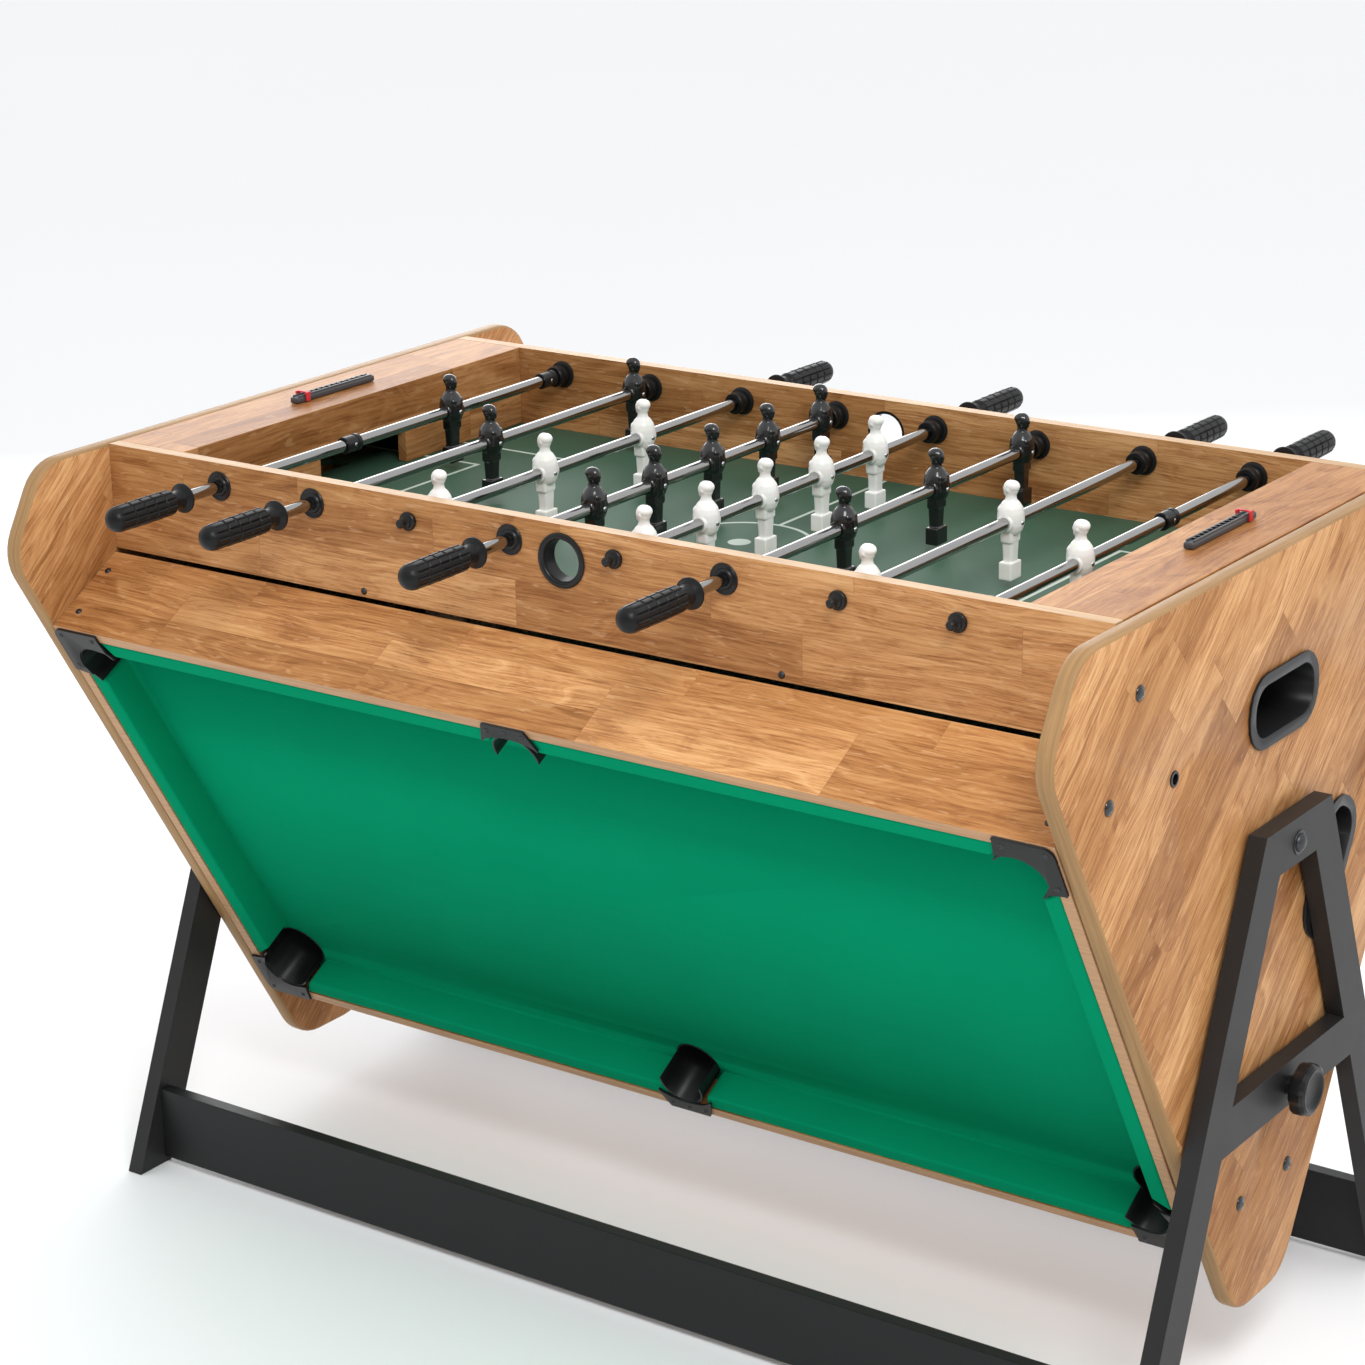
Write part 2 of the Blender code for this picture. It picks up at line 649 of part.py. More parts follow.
def make_rods(cabinet, chrome, black, white, grip):
    for k in range(1, ROD_COUNT + 1):
        plan = FORMATIONS[k]
        matrix = rod_matrix(k)
        make_inner_rod(k, cabinet, matrix, chrome)
        far_end = -(STOP_OFFSET + MAN_HALF + 0.002)
        tube_tip = HANDLE_TIP - HANDLE_CAP
        tube = [(0, tube_tip), (TUBE_RADIUS, tube_tip), (TUBE_RADIUS, far_end), (0, far_end)]
        figure = black if plan["team"] == "black" else white
        name = f"rod_{k}_{plan['team']}_men"
        rod = turned(name, tube, figure, cabinet, matrix, ROD_STEPS)
        fixed = []
        for number, z in enumerate(men_offsets(k)):
            fixed += man_parts(f"{name}_{number}", z, cabinet, matrix)
        if plan["men"] == 1:
            for end in (-1, 1):
                z = men_offsets(k)[0] + end * plan["spread"] / 2
                fixed.append(collar(f"{name}_collar_{end}", z, cabinet, matrix))
        bore_end = HANDLE_TIP - HANDLE_LENGTH
        bore_start = far_end - 0.01
        bore = [(0, bore_end), (TUBE_BORE, bore_end), (TUBE_BORE, bore_start), (0, bore_start)]
        hollow = turned(name + "_bore", bore, None, cabinet, matrix, ROD_STEPS, helpers)
        combine(rod, fixed, "UNION")
        combine(rod, [hollow], "DIFFERENCE")
        make_handle(k, cabinet, matrix, grip)


def make_inner_rod(k, cabinet, matrix, chrome):
    """The rod inside the tube. It ends in a nub outside the far wall, where it turns in its bush."""
    end = STOP_OFFSET + 0.020
    nub = -(HALF_WIDTH + 0.0015)
    profile = [
        (0, end), (INNER_ROD_RADIUS, end), (INNER_ROD_RADIUS, nub), (NUB_RADIUS, nub),
        (NUB_RADIUS, nub - 0.003), (0.005, nub - 0.004), (0.0042, nub - NUB_LENGTH + 0.002),
        (0, nub - NUB_LENGTH),
    ]
    turned(f"inner_rod_{k}", profile, chrome, cabinet, matrix, ROD_STEPS)


def collar(name, z, cabinet, matrix):
    """A stop collar round a keeper's rod."""
    inside = TUBE_RADIUS - 0.0005
    profile = [(inside, z + COLLAR_HALF), (COLLAR_RADIUS, z + COLLAR_HALF),
               (COLLAR_RADIUS, z - COLLAR_HALF), (inside, z - COLLAR_HALF)]
    return turned(name, profile, None, cabinet, matrix, ROD_STEPS, helpers)


def make_handle(k, cabinet, matrix, grip):
    """A domed grip over the end of the tube, with a neck and a ring at its inner end."""
    start_z = HANDLE_TIP - HANDLE_LENGTH
    bore = TUBE_RADIUS + CLEAR
    bore_end = HANDLE_TIP - HANDLE_CAP + CLEAR
    dome = [
        (HANDLE_RADIUS * cos(radians(a)), HANDLE_TIP - HANDLE_RADIUS * (1 - sin(radians(a))))
        for a in (60, 30, 0)
    ]
    profile = [
        (0, HANDLE_TIP), *dome,
        (HANDLE_RADIUS, start_z + 0.022), (HANDLE_NECK_RADIUS, start_z + 0.018),
        (HANDLE_NECK_RADIUS, start_z + 0.009), (HANDLE_RING_RADIUS, start_z + 0.006),
        (HANDLE_RING_RADIUS, start_z + 0.002), (0.011, start_z),
        (bore, start_z), (bore, bore_end), (0, bore_end),
    ]
    turned(f"handle_{k}", profile, grip, cabinet, matrix, ROD_STEPS)


# ---- pool and hockey boxes -----------------------------------------------------------------


def make_shallow_box(game, cabinet, oak):
    """Four walls in one frame, open at the rim and at the back."""
    turn = empty(f"{game}_side", Matrix.Rotation(radians(GAME_ANGLES[game]), 4, "X"), cabinet)
    outer = rectangle(INNER_HALF - CLEAR, HALF_WIDTH)
    inner = rectangle(WALL_IN_X, WALL_IN_Y)
    slab(f"{game}_box", [outer, inner], FACE_OUT - BOX_INNER, oak, turn, at(z=BOX_INNER))
    return turn


def pocket_spots():
    """(name, x, y, hole radius, the way to the middle of the bed)."""
    spots = []
    for side_y in (1, -1):
        across = "upper" if side_y > 0 else "lower"
        for side_x in (-1, 1):
            x = side_x * (WALL_IN_X - CORNER_INSET[0])
            y = side_y * (WALL_IN_Y - CORNER_INSET[1])
            spots.append((f"pocket_{across}_{side_name(side_x)}", x, y, CORNER_HOLE, (-side_x, -side_y)))
        y = side_y * (WALL_IN_Y - SIDE_INSET)
        spots.append((f"pocket_{across}_middle", 0.0, y, SIDE_HOLE, (0, -side_y)))
    return spots


def make_pool_bed(turn, felt):
    """The bed board with six felted cushions, each ending in a slanted cheek by a pocket."""
    half_x, half_y = WALL_IN_X - CLEAR, WALL_IN_Y - CLEAR
    holes = [circle(x, y, radius + CUP_WALL + CLEAR) for _, x, y, radius, _ in pocket_spots()]
    bed = slab("pool_bed", [rectangle(half_x, half_y), *holes], BED_THICK, felt, turn,
               at(z=BED_OUT - BED_THICK))
    for name, outline in cushion_outlines(half_x, half_y):
        rail = slab(name, [outline], BED_DROP, None, turn, at(z=BED_OUT - 0.0005), 0, helpers)
        combine(bed, [rail], "UNION")


def cushion_outlines(half_x, half_y):
    """Six trapezoids: four along the length, split by the side pockets, and two at the ends.
    Each runs on under the plates until it is just clear of the pocket liners."""
    long_back, long_nose = 0.046, 0.058
    end_back, end_nose = 0.052, 0.066
    side_back, side_nose = 0.023, 0.028
    back_x, back_y = half_x - CLEAR, half_y - CLEAR
    cheeks = [0, 0, 0.005, 0.005]
    found = []
    for side_y in (-1, 1):
        for side_x in (-1, 1):
            corners = [
                (side_x * side_back, side_y * back_y),
                (side_x * (half_x - long_back), side_y * back_y),
                (side_x * (half_x - long_nose), side_y * NOSE_Y),
                (side_x * side_nose, side_y * NOSE_Y),
            ]
            found.append((f"cushion_{side_x}_{side_y}", rounded(corners, cheeks, 3)))
    for side_x in (-1, 1):
        corners = [
            (side_x * back_x, half_y - end_back),
            (side_x * back_x, end_back - half_y),
            (side_x * NOSE_X, end_nose - half_y),
            (side_x * NOSE_X, half_y - end_nose),
        ]
        found.append((f"cushion_end_{side_x}", rounded(corners, cheeks, 3)))
    return found


def make_pockets(turn, plastic):
    """Each pocket is a cup under the bed and a screwed plate over the rails, in one moulding."""
    base = FACE_OUT + PLATE_LIFT
    foot = base - CUP_DEPTH
    lip = base + 0.0005
    for name, x, y, radius, way in pocket_spots():
        plate = slab(name, [plate_outline(x, y, radius, way)], PLATE_THICK, plastic, turn, at(z=base))
        outside = radius + CUP_WALL
        profile = [(radius, lip), (outside, lip), (outside, foot), (0, foot), (0, foot + CUP_WALL),
                   (radius, foot + CUP_WALL)]
        cup = turned(name + "_cup", profile, None, turn, at(x, y), ROUND_STEPS, helpers)
        facing = at(x, y, BED_OUT + CLEAR) @ Matrix.Rotation(atan2(way[1], way[0]), 4, "Z")
        mouth = slab(name + "_mouth", [mouth_outline(radius)], BED_DROP + 0.02, None, turn, facing,
                     0, helpers)
        combine(plate, [cup], "UNION")
        combine(plate, [mouth], "DIFFERENCE")


def mouth_outline(radius):
    """What is cut away above the bed: the throat from the hole towards the middle of the table."""
    near = radius * 0.96
    reach, spread = 0.2, 0.06
    back = [turned_point(near, 0, a) for a in range(90, 271, 15)]
    return [*back, (reach, -near - spread), (reach, near + spread)]


def plate_outline(x, y, radius, way):
    """The cover plate: an L round a corner hole, or a tapered bar with a hollow at a side one."""
    out_x, out_y = INNER_HALF - PLATE_INSET, HALF_WIDTH - PLATE_INSET
    if way[0] == 0:
        side = -way[1]
        arc = [(a, y + side * (SIDE_HOLLOW[1] + radius * 0.62 * sin(radians(a))))
               for a in range(15, 180, 15)]
        hollow = [(SIDE_HOLLOW[0] * cos(radians(a)), deep) for a, deep in arc]
        in_y = side * (out_y - PLATE_WIDTH)
        return [(-SIDE_PLATE_HALF, side * out_y), (SIDE_PLATE_HALF, side * out_y),
                (SIDE_HOLLOW[0], in_y), *hollow, (-SIDE_HOLLOW[0], in_y)]
    side_x, side_y = -way[0], -way[1]
    reach = radius + CUP_WALL * 0.4
    arc = [(x + side_x * reach * cos(radians(a)), y + side_y * reach * sin(radians(a)))
           for a in range(-5, 96, 10)]
    arm_x, arm_y = side_x * (out_x - PLATE_ARM), side_y * (out_y - PLATE_ARM)
    corners = [(arm_x, side_y * out_y), (side_x * out_x, side_y * out_y), (side_x * out_x, arm_y)]
    edge = rounded(corners, [0.002, PLATE_CORNER, 0.002], 3)
    return [*edge, (side_x * (out_x - PLATE_WIDTH), arm_y), *arc,
            (arm_x, side_y * (out_y - PLATE_WIDTH))]


def make_hockey_rink(turn, white):
    half_x, half_y = WALL_IN_X - CLEAR, WALL_IN_Y - CLEAR
    slot_x = half_x - RINK_SLOT / 2 - RINK_SLOT_INSET
    slots = [
        rectangle(RINK_SLOT / 2, RINK_GOAL_HALF, side * slot_x, 0, RINK_SLOT_INSET) for side in (-1, 1)
    ]
    slab("hockey_rink", [rectangle(half_x, half_y), *slots], RINK_THICK, white, turn,
         at(z=RINK_OUT - RINK_THICK))


def main():
    start()
    oak = coloured("oak_laminate", (0.55, 0.33, 0.17), 0.45)
    paint = coloured("stand_paint", (0.045, 0.045, 0.048), 0.5)
    plastic = coloured("black_plastic", (0.018, 0.018, 0.019), 0.4)
    steel = coloured("dark_steel", (0.08, 0.08, 0.085), 0.3, 1.0)
    chrome = coloured("chrome", (0.8, 0.8, 0.82), 0.12, 1.0)
    black = coloured("black_men", (0.012, 0.012, 0.013), 0.25)
    white = coloured("ivory_men", (0.80, 0.80, 0.70), 0.35)
    grip = coloured("handle_rubber", (0.014, 0.014, 0.015), 0.45)
    field = coloured("field_print", (0.06, 0.11, 0.07), 0.5)
    felt = coloured("pool_felt", (0.0, 0.26, 0.13), 0.9)
    rink = coloured("rink_board", (0.82, 0.84, 0.86), 0.25)
    scorer = coloured("scorer_plastic", (0.05, 0.05, 0.055), 0.4)
    red = coloured("marker_red", (0.60, 0.02, 0.03), 0.4)

    pivot = empty("pivot_line", at(z=PIVOT_HEIGHT))
    make_stand(pivot, paint)
    make_pivot_bolts(pivot, steel)
    make_lock_knobs(pivot, plastic)

    cabinet = empty("cabinet_frame", Matrix(), pivot)
    make_panels(cabinet, oak)
    make_return_cups(cabinet, plastic)
    make_football_box(cabinet, oak, field)
    make_serve_rings(cabinet, plastic)
    make_scorers(cabinet, scorer, red)
    make_rods(cabinet, chrome, black, white, grip)

    pool_turn = make_shallow_box("pool", cabinet, oak)
    make_pool_bed(pool_turn, felt)
    make_pockets(pool_turn, plastic)
    hockey_turn = make_shallow_box("hockey", cabinet, oak)
    make_hockey_rink(hockey_turn, rink)


main()
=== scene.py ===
"""The rotating three-game table, dressed: oak-look laminate, moulded men, chrome rods and cloth.

Metres, in the part's own frame: +X along the table, +Z up. Each game has its own frame round the
pivot line, with x along the table, y across it and z straight out to the rim.
"""

import json
from math import atan2, cos, pi, radians, sin

import bmesh
import bpy
from mathutils import Matrix, Vector


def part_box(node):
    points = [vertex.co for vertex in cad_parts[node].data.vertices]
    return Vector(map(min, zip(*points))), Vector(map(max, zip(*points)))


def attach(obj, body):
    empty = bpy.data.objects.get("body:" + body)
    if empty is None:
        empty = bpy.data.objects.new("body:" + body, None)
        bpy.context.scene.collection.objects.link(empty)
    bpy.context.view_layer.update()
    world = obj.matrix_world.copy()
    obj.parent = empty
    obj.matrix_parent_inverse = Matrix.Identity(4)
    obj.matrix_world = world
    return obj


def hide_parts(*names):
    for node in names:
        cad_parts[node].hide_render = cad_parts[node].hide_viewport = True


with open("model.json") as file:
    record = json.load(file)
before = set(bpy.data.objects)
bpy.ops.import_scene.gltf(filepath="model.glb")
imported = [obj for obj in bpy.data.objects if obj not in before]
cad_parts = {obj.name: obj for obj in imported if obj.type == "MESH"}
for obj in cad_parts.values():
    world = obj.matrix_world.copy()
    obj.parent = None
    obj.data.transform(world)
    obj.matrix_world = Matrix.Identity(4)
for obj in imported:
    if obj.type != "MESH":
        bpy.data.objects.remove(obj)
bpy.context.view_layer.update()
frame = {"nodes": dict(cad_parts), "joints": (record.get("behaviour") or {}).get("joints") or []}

# ---- places read from the frame ------------------------------------------------------------
RODS = range(1, 9)
JOINTS = {joint["name"]: joint for joint in frame["joints"]}
PIVOT = Vector(JOINTS["table_turn"]["pos_m"])
TEAMS = {k: "black" if f"rod_{k}_black_men" in frame["nodes"] else "white" for k in RODS}
INNER_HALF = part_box("right_end_panel")[0].x  # middle to the inside of an end panel
PANEL_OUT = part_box("right_end_panel")[1].x  # and to its outside
HALF_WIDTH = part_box("football_rear_apron")[1].y  # middle to the outside of a long wall
WALL_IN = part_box("football_rear_apron")[0].y  # and to its inside
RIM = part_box("football_rear_apron")[1].z
FACE_OUT = RIM - PIVOT.z  # pivot line to the rim of each game's box
LEDGE_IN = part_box("football_right_goal_box")[0].x
FRAME_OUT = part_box("right_a_frame")[1].x
ROD_Z = JOINTS["rod_1_spin"]["pos_m"][2]

# ---- sizes of hidden and added pieces ------------------------------------------------------
GAMES = {"football": 0, "pool": 120, "hockey": -120}  # each face's turn round the pivot line
TUBE_RADIUS = 0.00635
TUBE_BORE = 0.0050
INNER_ROD_RADIUS = 0.0045
LOCK_RADIUS = 0.250  # pivot line to each lock hole
LOCK_ANGLES = (-90, 30, 150)
HAIR = 0.0002  # how far an added piece stands off the surface under it
WELD = 0.00001
NEARLY_FLAT = radians(0.5)
WALL_SCREW, PLATE_SCREW, HIP_SCREW, COLLAR_SCREW = 0.0036, 0.0027, 0.0026, 0.0024  # radii


# ---- shader maths --------------------------------------------------------------------------


class Value:
    """A socket of a node tree, with arithmetic that adds Math nodes."""

    def __init__(self, nodes, socket):
        self.nodes, self.socket = nodes, socket

    def math(self, operation, *others):
        return self.nodes.math(operation, self, *others)

    def __add__(self, other):
        return self.math("ADD", other)

    def __sub__(self, other):
        return self.math("SUBTRACT", other)

    def __mul__(self, other):
        return self.math("MULTIPLY", other)

    def __truediv__(self, other):
        return self.math("DIVIDE", other)

    def __rsub__(self, other):
        return self.nodes.math("SUBTRACT", other, self)

    def __rtruediv__(self, other):
        return self.nodes.math("DIVIDE", other, self)

    def __gt__(self, other):
        return self.math("GREATER_THAN", other)

    def __lt__(self, other):
        return self.math("LESS_THAN", other)

    __radd__ = __add__
    __rmul__ = __mul__


class Nodes:
    """A node tree, with the one method that adds a node to it."""

    def __init__(self, tree):
        self.tree = tree

    def feed(self, socket, value):
        """Links a value to a socket, or sets the socket to a constant."""
        if isinstance(value, Value):
            self.tree.links.new(value.socket, socket)
        else:
            socket.default_value = value

    def node(self, kind, settings=None, inputs=None, output=0):
        """Adds a node: its settings first, then the values or links of its sockets."""
        node = self.tree.nodes.new(kind)
        for key, value in (settings or {}).items():
            if key == "stops":
                self.fill_ramp(node.color_ramp, value)
            else:
                setattr(node, key, value)
        for key, value in (inputs or {}).items():
            self.feed(node.inputs[key], value)
        return Value(self, node.outputs[output])

    def fill_ramp(self, ramp, stops):
        while len(ramp.elements) < len(stops):
            ramp.elements.new(1.0)
        for element, (position, colour) in zip(ramp.elements, stops):
            element.position = position
            element.color = (*colour, 1.0)

    def math(self, operation, *values):
        return self.node("ShaderNodeMath", {"operation": operation}, dict(enumerate(values)))


class Paint(Nodes):
    """A material under construction: its nodes, its coordinates and its Principled shader."""

    def __init__(self, name, roughness=0.5, metallic=0.0, **constants):
        self.material = bpy.data.materials.new(name)
        self.material.use_nodes = True
        super().__init__(self.material.node_tree)
        self.shader = self.tree.nodes["Principled BSDF"]
        self.set("Roughness", roughness)
        self.set("Metallic", metallic)
        for socket, value in constants.items():
            self.set(socket.replace("_", " "), value)
        coordinates = self.tree.nodes.new("ShaderNodeTexCoord")
        self.place = Value(self, coordinates.outputs["Object"])
        self.facing = Value(self, coordinates.outputs["Normal"])

    def set(self, socket, value):
        self.feed(self.shader.inputs[socket], value)

    def along(self, axis, place=None):
        """How far the surface lies along an axis."""
        inputs = {0: place or self.place, 1: tuple(axis)}
        return self.node("ShaderNodeVectorMath", {"operation": "DOT_PRODUCT"}, inputs, "Value")

    def faces(self, axis):
        """How squarely the surface faces along an axis, either way, from 0 to 1."""
        return self.along(axis, self.facing).math("ABSOLUTE")

    def vector(self, x, y=0.0, z=0.0):
        return self.node("ShaderNodeCombineXYZ", None, {0: x, 1: y, 2: z})

    def noise(self, scale, detail=3.0, place=None, rough=0.5, warp=0.0):
        inputs = {
            "Vector": place or self.place, "Scale": scale, "Detail": detail,
            "Roughness": rough, "Distortion": warp,
        }
        return self.node("ShaderNodeTexNoise", None, inputs)

    def random(self, x, y):
        """A number from 0 to 1 that stays the same for the same two values."""
        settings = {"noise_dimensions": "2D"}
        return self.node("ShaderNodeTexWhiteNoise", settings, {"Vector": self.vector(x, y)})

    def ramp(self, factor, *stops):
        return self.node("ShaderNodeValToRGB", {"stops": stops}, {"Fac": factor})

    def mix(self, factor, first, second, blend="MIX"):
        """Mixes two colours, whose sockets the Mix node tells apart by number only."""
        first, second = [(*c, 1.0) if isinstance(c, tuple) else c for c in (first, second)]
        settings = {"data_type": "RGBA", "blend_type": blend}
        return self.node("ShaderNodeMix", settings, {"Factor": factor, 6: first, 7: second}, 2)

    def step(self, value, low, high):
        """0 below low, 1 above high and smooth between."""
        settings = {"interpolation_type": "SMOOTHSTEP"}
        return self.node("ShaderNodeMapRange", settings, {0: value, 1: low, 2: high})

    def bump(self, height, depth):
        inputs = {"Height": height, "Distance": depth, "Strength": 1.0}
        self.set("Normal", self.node("ShaderNodeBump", None, inputs))


# ---- finishes ------------------------------------------------------------------------------


def scaled(colour, share):
    return tuple(share * c for c in colour)


def oak(name, along, across, stave, face=None, edge=None, tilt=0.0, seed=0,
        tint=(1.0, 1.0, 1.0)):
    """Staved oak laminate: rows of boards, each (length, width), with butt joints.

    The boards run along one axis and lie side by side across another, both turned by tilt.
    Where a face is named, the surfaces that look away from it are banded in the edge colour.
    """
    paint = Paint(name, 0.42, Specular_IOR_Level=0.17)
    length, width = stave
    run, side = Vector(along), Vector(across)
    u = paint.along(run * cos(tilt) + side * sin(tilt)) + seed * 0.173
    v = paint.along(side * cos(tilt) - run * sin(tilt)) + seed * 0.091
    rows = v / width
    row = rows.math("FLOOR")
    boards = u / length + paint.random(row, seed + 0.5) * 3.7
    board = boards.math("FLOOR")
    tone = paint.random(board + 0.5, row + seed)
    other = paint.random(row + 7.5, board + seed)

    # Every layer is stretched along the board and starts somewhere else on each board.
    drift = paint.noise(1.0, 2.0, paint.vector(u * 4.0 + tone * 31.0, v * 15.0, other * 9.0))
    figure = paint.noise(1.0, 3.0, paint.vector(u * 5.5 + tone * 40.0, v * 62.0 + drift * 15.0,
                                                other * 13.0), 0.55, 0.25)
    fibre = paint.noise(1.0, 5.0, paint.vector(u * 13.0 + other * 17.0, v * 430.0 + drift * 9.0,
                                               tone * 23.0), 0.68)
    pores = paint.noise(1.0, 2.0, paint.vector(u * 75.0, v * 1150.0, tone * 11.0), 0.6)
    flecks = paint.noise(1.0, 1.0, paint.vector(u * 46.0, v * 240.0, other * 5.0), 0.4, 0.6)
    grain = fibre * 0.58 + figure * 0.42
    light = paint.ramp(grain, (0.38, (0.340, 0.138, 0.045)), (0.47, (0.500, 0.230, 0.083)),
                       (0.53, (0.585, 0.290, 0.112)), (0.62, (0.675, 0.370, 0.160)))
    stain = paint.ramp(tone * 0.72 + other * 0.28, (0.12, (0.62, 0.55, 0.47)),
                       (0.42, (0.84, 0.81, 0.76)), (0.66, (0.98, 0.99, 1.00)),
                       (0.90, (1.12, 1.20, 1.30)))
    shaded = paint.mix(1.0, light, stain, "MULTIPLY")
    dark_pores = paint.step(pores, 0.57, 0.68) * paint.step(grain, 0.66, 0.42)
    pored = paint.mix(dark_pores * 0.60, shaded, (0.190, 0.074, 0.026))
    flecked = paint.mix(paint.step(flecks, 0.63, 0.72) * 0.30, pored, (0.72, 0.45, 0.24))

    from_row = (rows.math("FRACT") - 0.5).math("ABSOLUTE")
    from_board = (boards.math("FRACT") - 0.5).math("ABSOLUTE")
    row_line = paint.step(from_row, 0.486, 0.499)
    lines = row_line.math("MAXIMUM", paint.step(from_board, 0.4975, 0.4997))
    jointed = paint.mix(lines * 0.30, flecked, (0.24, 0.105, 0.042))
    colour = paint.mix(1.0, jointed, tint, "MULTIPLY")
    if face is not None:
        plies = paint.vector(paint.along(face) * 330.0, u * 11.0, v * 11.0)
        streaks = paint.noise(1.0, 4.0, plies, 0.6)
        banded = paint.mix(streaks, scaled(edge, 0.50), scaled(edge, 1.32))
        colour = paint.mix(paint.step(paint.faces(face), 0.86, 0.93), banded, colour)
    paint.set("Base Color", colour)
    paint.set("Roughness", 0.34 + fibre * 0.18)
    paint.bump(fibre * 0.6 - dark_pores * 0.6 - lines, 0.00010)
    return paint.material


def moulded(name, colour, roughness=0.35, grain=900.0, depth=0.00004, **constants):
    """Moulded plastic or rubber: a fine skin texture with slightly uneven gloss."""
    paint = Paint(name, roughness, **constants)
    skin = paint.noise(grain, 2.0)
    cloud = paint.noise(38.0, 3.0)
    lighter = tuple(min(1.0, c * 1.25 + 0.004) for c in colour)
    paint.set("Base Color", paint.mix(cloud, scaled(colour, 0.86), lighter))
    paint.set("Roughness", roughness - 0.07 + cloud * 0.14)
    paint.bump(skin, depth)
    return paint.material


def powder_coat(name, colour):
    """Satin paint on steel, with a fine orange peel and scuffs."""
    paint = Paint(name, 0.42, Specular_IOR_Level=0.24)
    peel = paint.noise(1400.0, 2.0)
    scuff = paint.noise(16.0, 6.0, rough=0.7)
    paint.set("Base Color", paint.mix(scuff, scaled(colour, 0.82), scaled(colour, 1.22)))
    paint.set("Roughness", 0.36 + scuff * 0.16)
    paint.bump(peel, 0.00006)
    return paint.material


def polished(name, colour, roughness, axis):
    """Bright metal tube, drawn lengthwise along an axis."""
    paint = Paint(name, roughness, 1.0)
    lengthwise = paint.along(axis)
    fine = 2600.0
    around = paint.along((1, 0, 0)) * fine + paint.along((0, 0, 1)) * fine
    draw = paint.noise(1.0, 2.0, paint.vector(lengthwise * 14.0, around))
    smears = paint.noise(26.0, 4.0)
    paint.set("Base Color", paint.mix(smears, scaled(colour, 0.90), colour))
    paint.set("Roughness", roughness + draw * 0.05 + smears * 0.06)
    paint.bump(draw, 0.000012)
    return paint.material


def cloth(name, colour, raised):
    """Napped billiard cloth: fine crossed threads under a soft fuzz."""
    paint = Paint(name, 0.94, Specular_IOR_Level=0.02)
    fuzz = paint.noise(1500.0, 3.0, rough=0.7)
    nap = paint.noise(7.0, 4.0, rough=0.6)
    weave = (paint.along((1, 0, 0)) * 5200.0).math("SINE") * 0.5 + 0.5
    base = paint.mix(nap, scaled(colour, 0.92), scaled(colour, 1.06))
    speckled = paint.mix(fuzz * 0.30, base, scaled(colour, 0.66))
    paint.set("Base Color", paint.mix(paint.step(nap, 0.3, 0.8) * 0.08, speckled, raised))
    paint.set("Roughness", 0.86 + fuzz * 0.12)
    paint.bump(fuzz + weave * 0.3, 0.00010)
    return paint.material


def pitch():
    """The printed playing field: a satin green board with its lines."""
    paint = Paint("pitch_print", 0.55, Specular_IOR_Level=0.3)
    x, y = paint.along((1, 0, 0)), paint.along((0, 1, 0))
    round_middle = (x * x + y * y).math("SQRT")
    goal_x = LEDGE_IN - x.math("ABSOLUTE")
    across = y.math("ABSOLUTE")
    line, soft = 0.0022, 0.0003  # half the width of a line, and of its soft edge
    circle, spot_from, spot_to = 0.074, 0.0124, 0.0116
    goal_area, penalty_area = (0.075, 0.105), (0.155, 0.175)  # depth and half width
    arc_middle, arc_radius = 0.115, 0.055

    def ring(distance, radius):
        return paint.step((distance - radius).math("ABSOLUTE"), line + soft, line - soft)

    def box(deep, wide):
        side = ring(across, wide) * (goal_x < deep + line)
        front = ring(goal_x, deep) * (across < wide + line)
        return side.math("MAXIMUM", front)

    spot = paint.step(round_middle, spot_from, spot_to)
    arc_x = goal_x - arc_middle
    arc = ring((arc_x * arc_x + y * y).math("SQRT"), arc_radius) * (goal_x > penalty_area[0])
    lines = ring(x, 0.0) * (round_middle > circle)
    for mark in (ring(round_middle, circle), spot, box(*goal_area), box(*penalty_area), arc):
        lines = lines.math("MAXIMUM", mark)
    mottle = paint.noise(9.0, 4.0)
    print_grain = paint.noise(1300.0, 2.0)
    green = paint.mix(mottle, (0.040, 0.102, 0.062), (0.055, 0.128, 0.079))
    speckled = paint.mix(print_grain * 0.25, green, (0.030, 0.072, 0.044))
    paint.set("Base Color", paint.mix(lines * 0.86, speckled, (0.62, 0.70, 0.62)))
    paint.set("Roughness", 0.50 + mottle * 0.12)
    paint.bump(print_grain - lines * 0.4, 0.00005)
    return paint.material


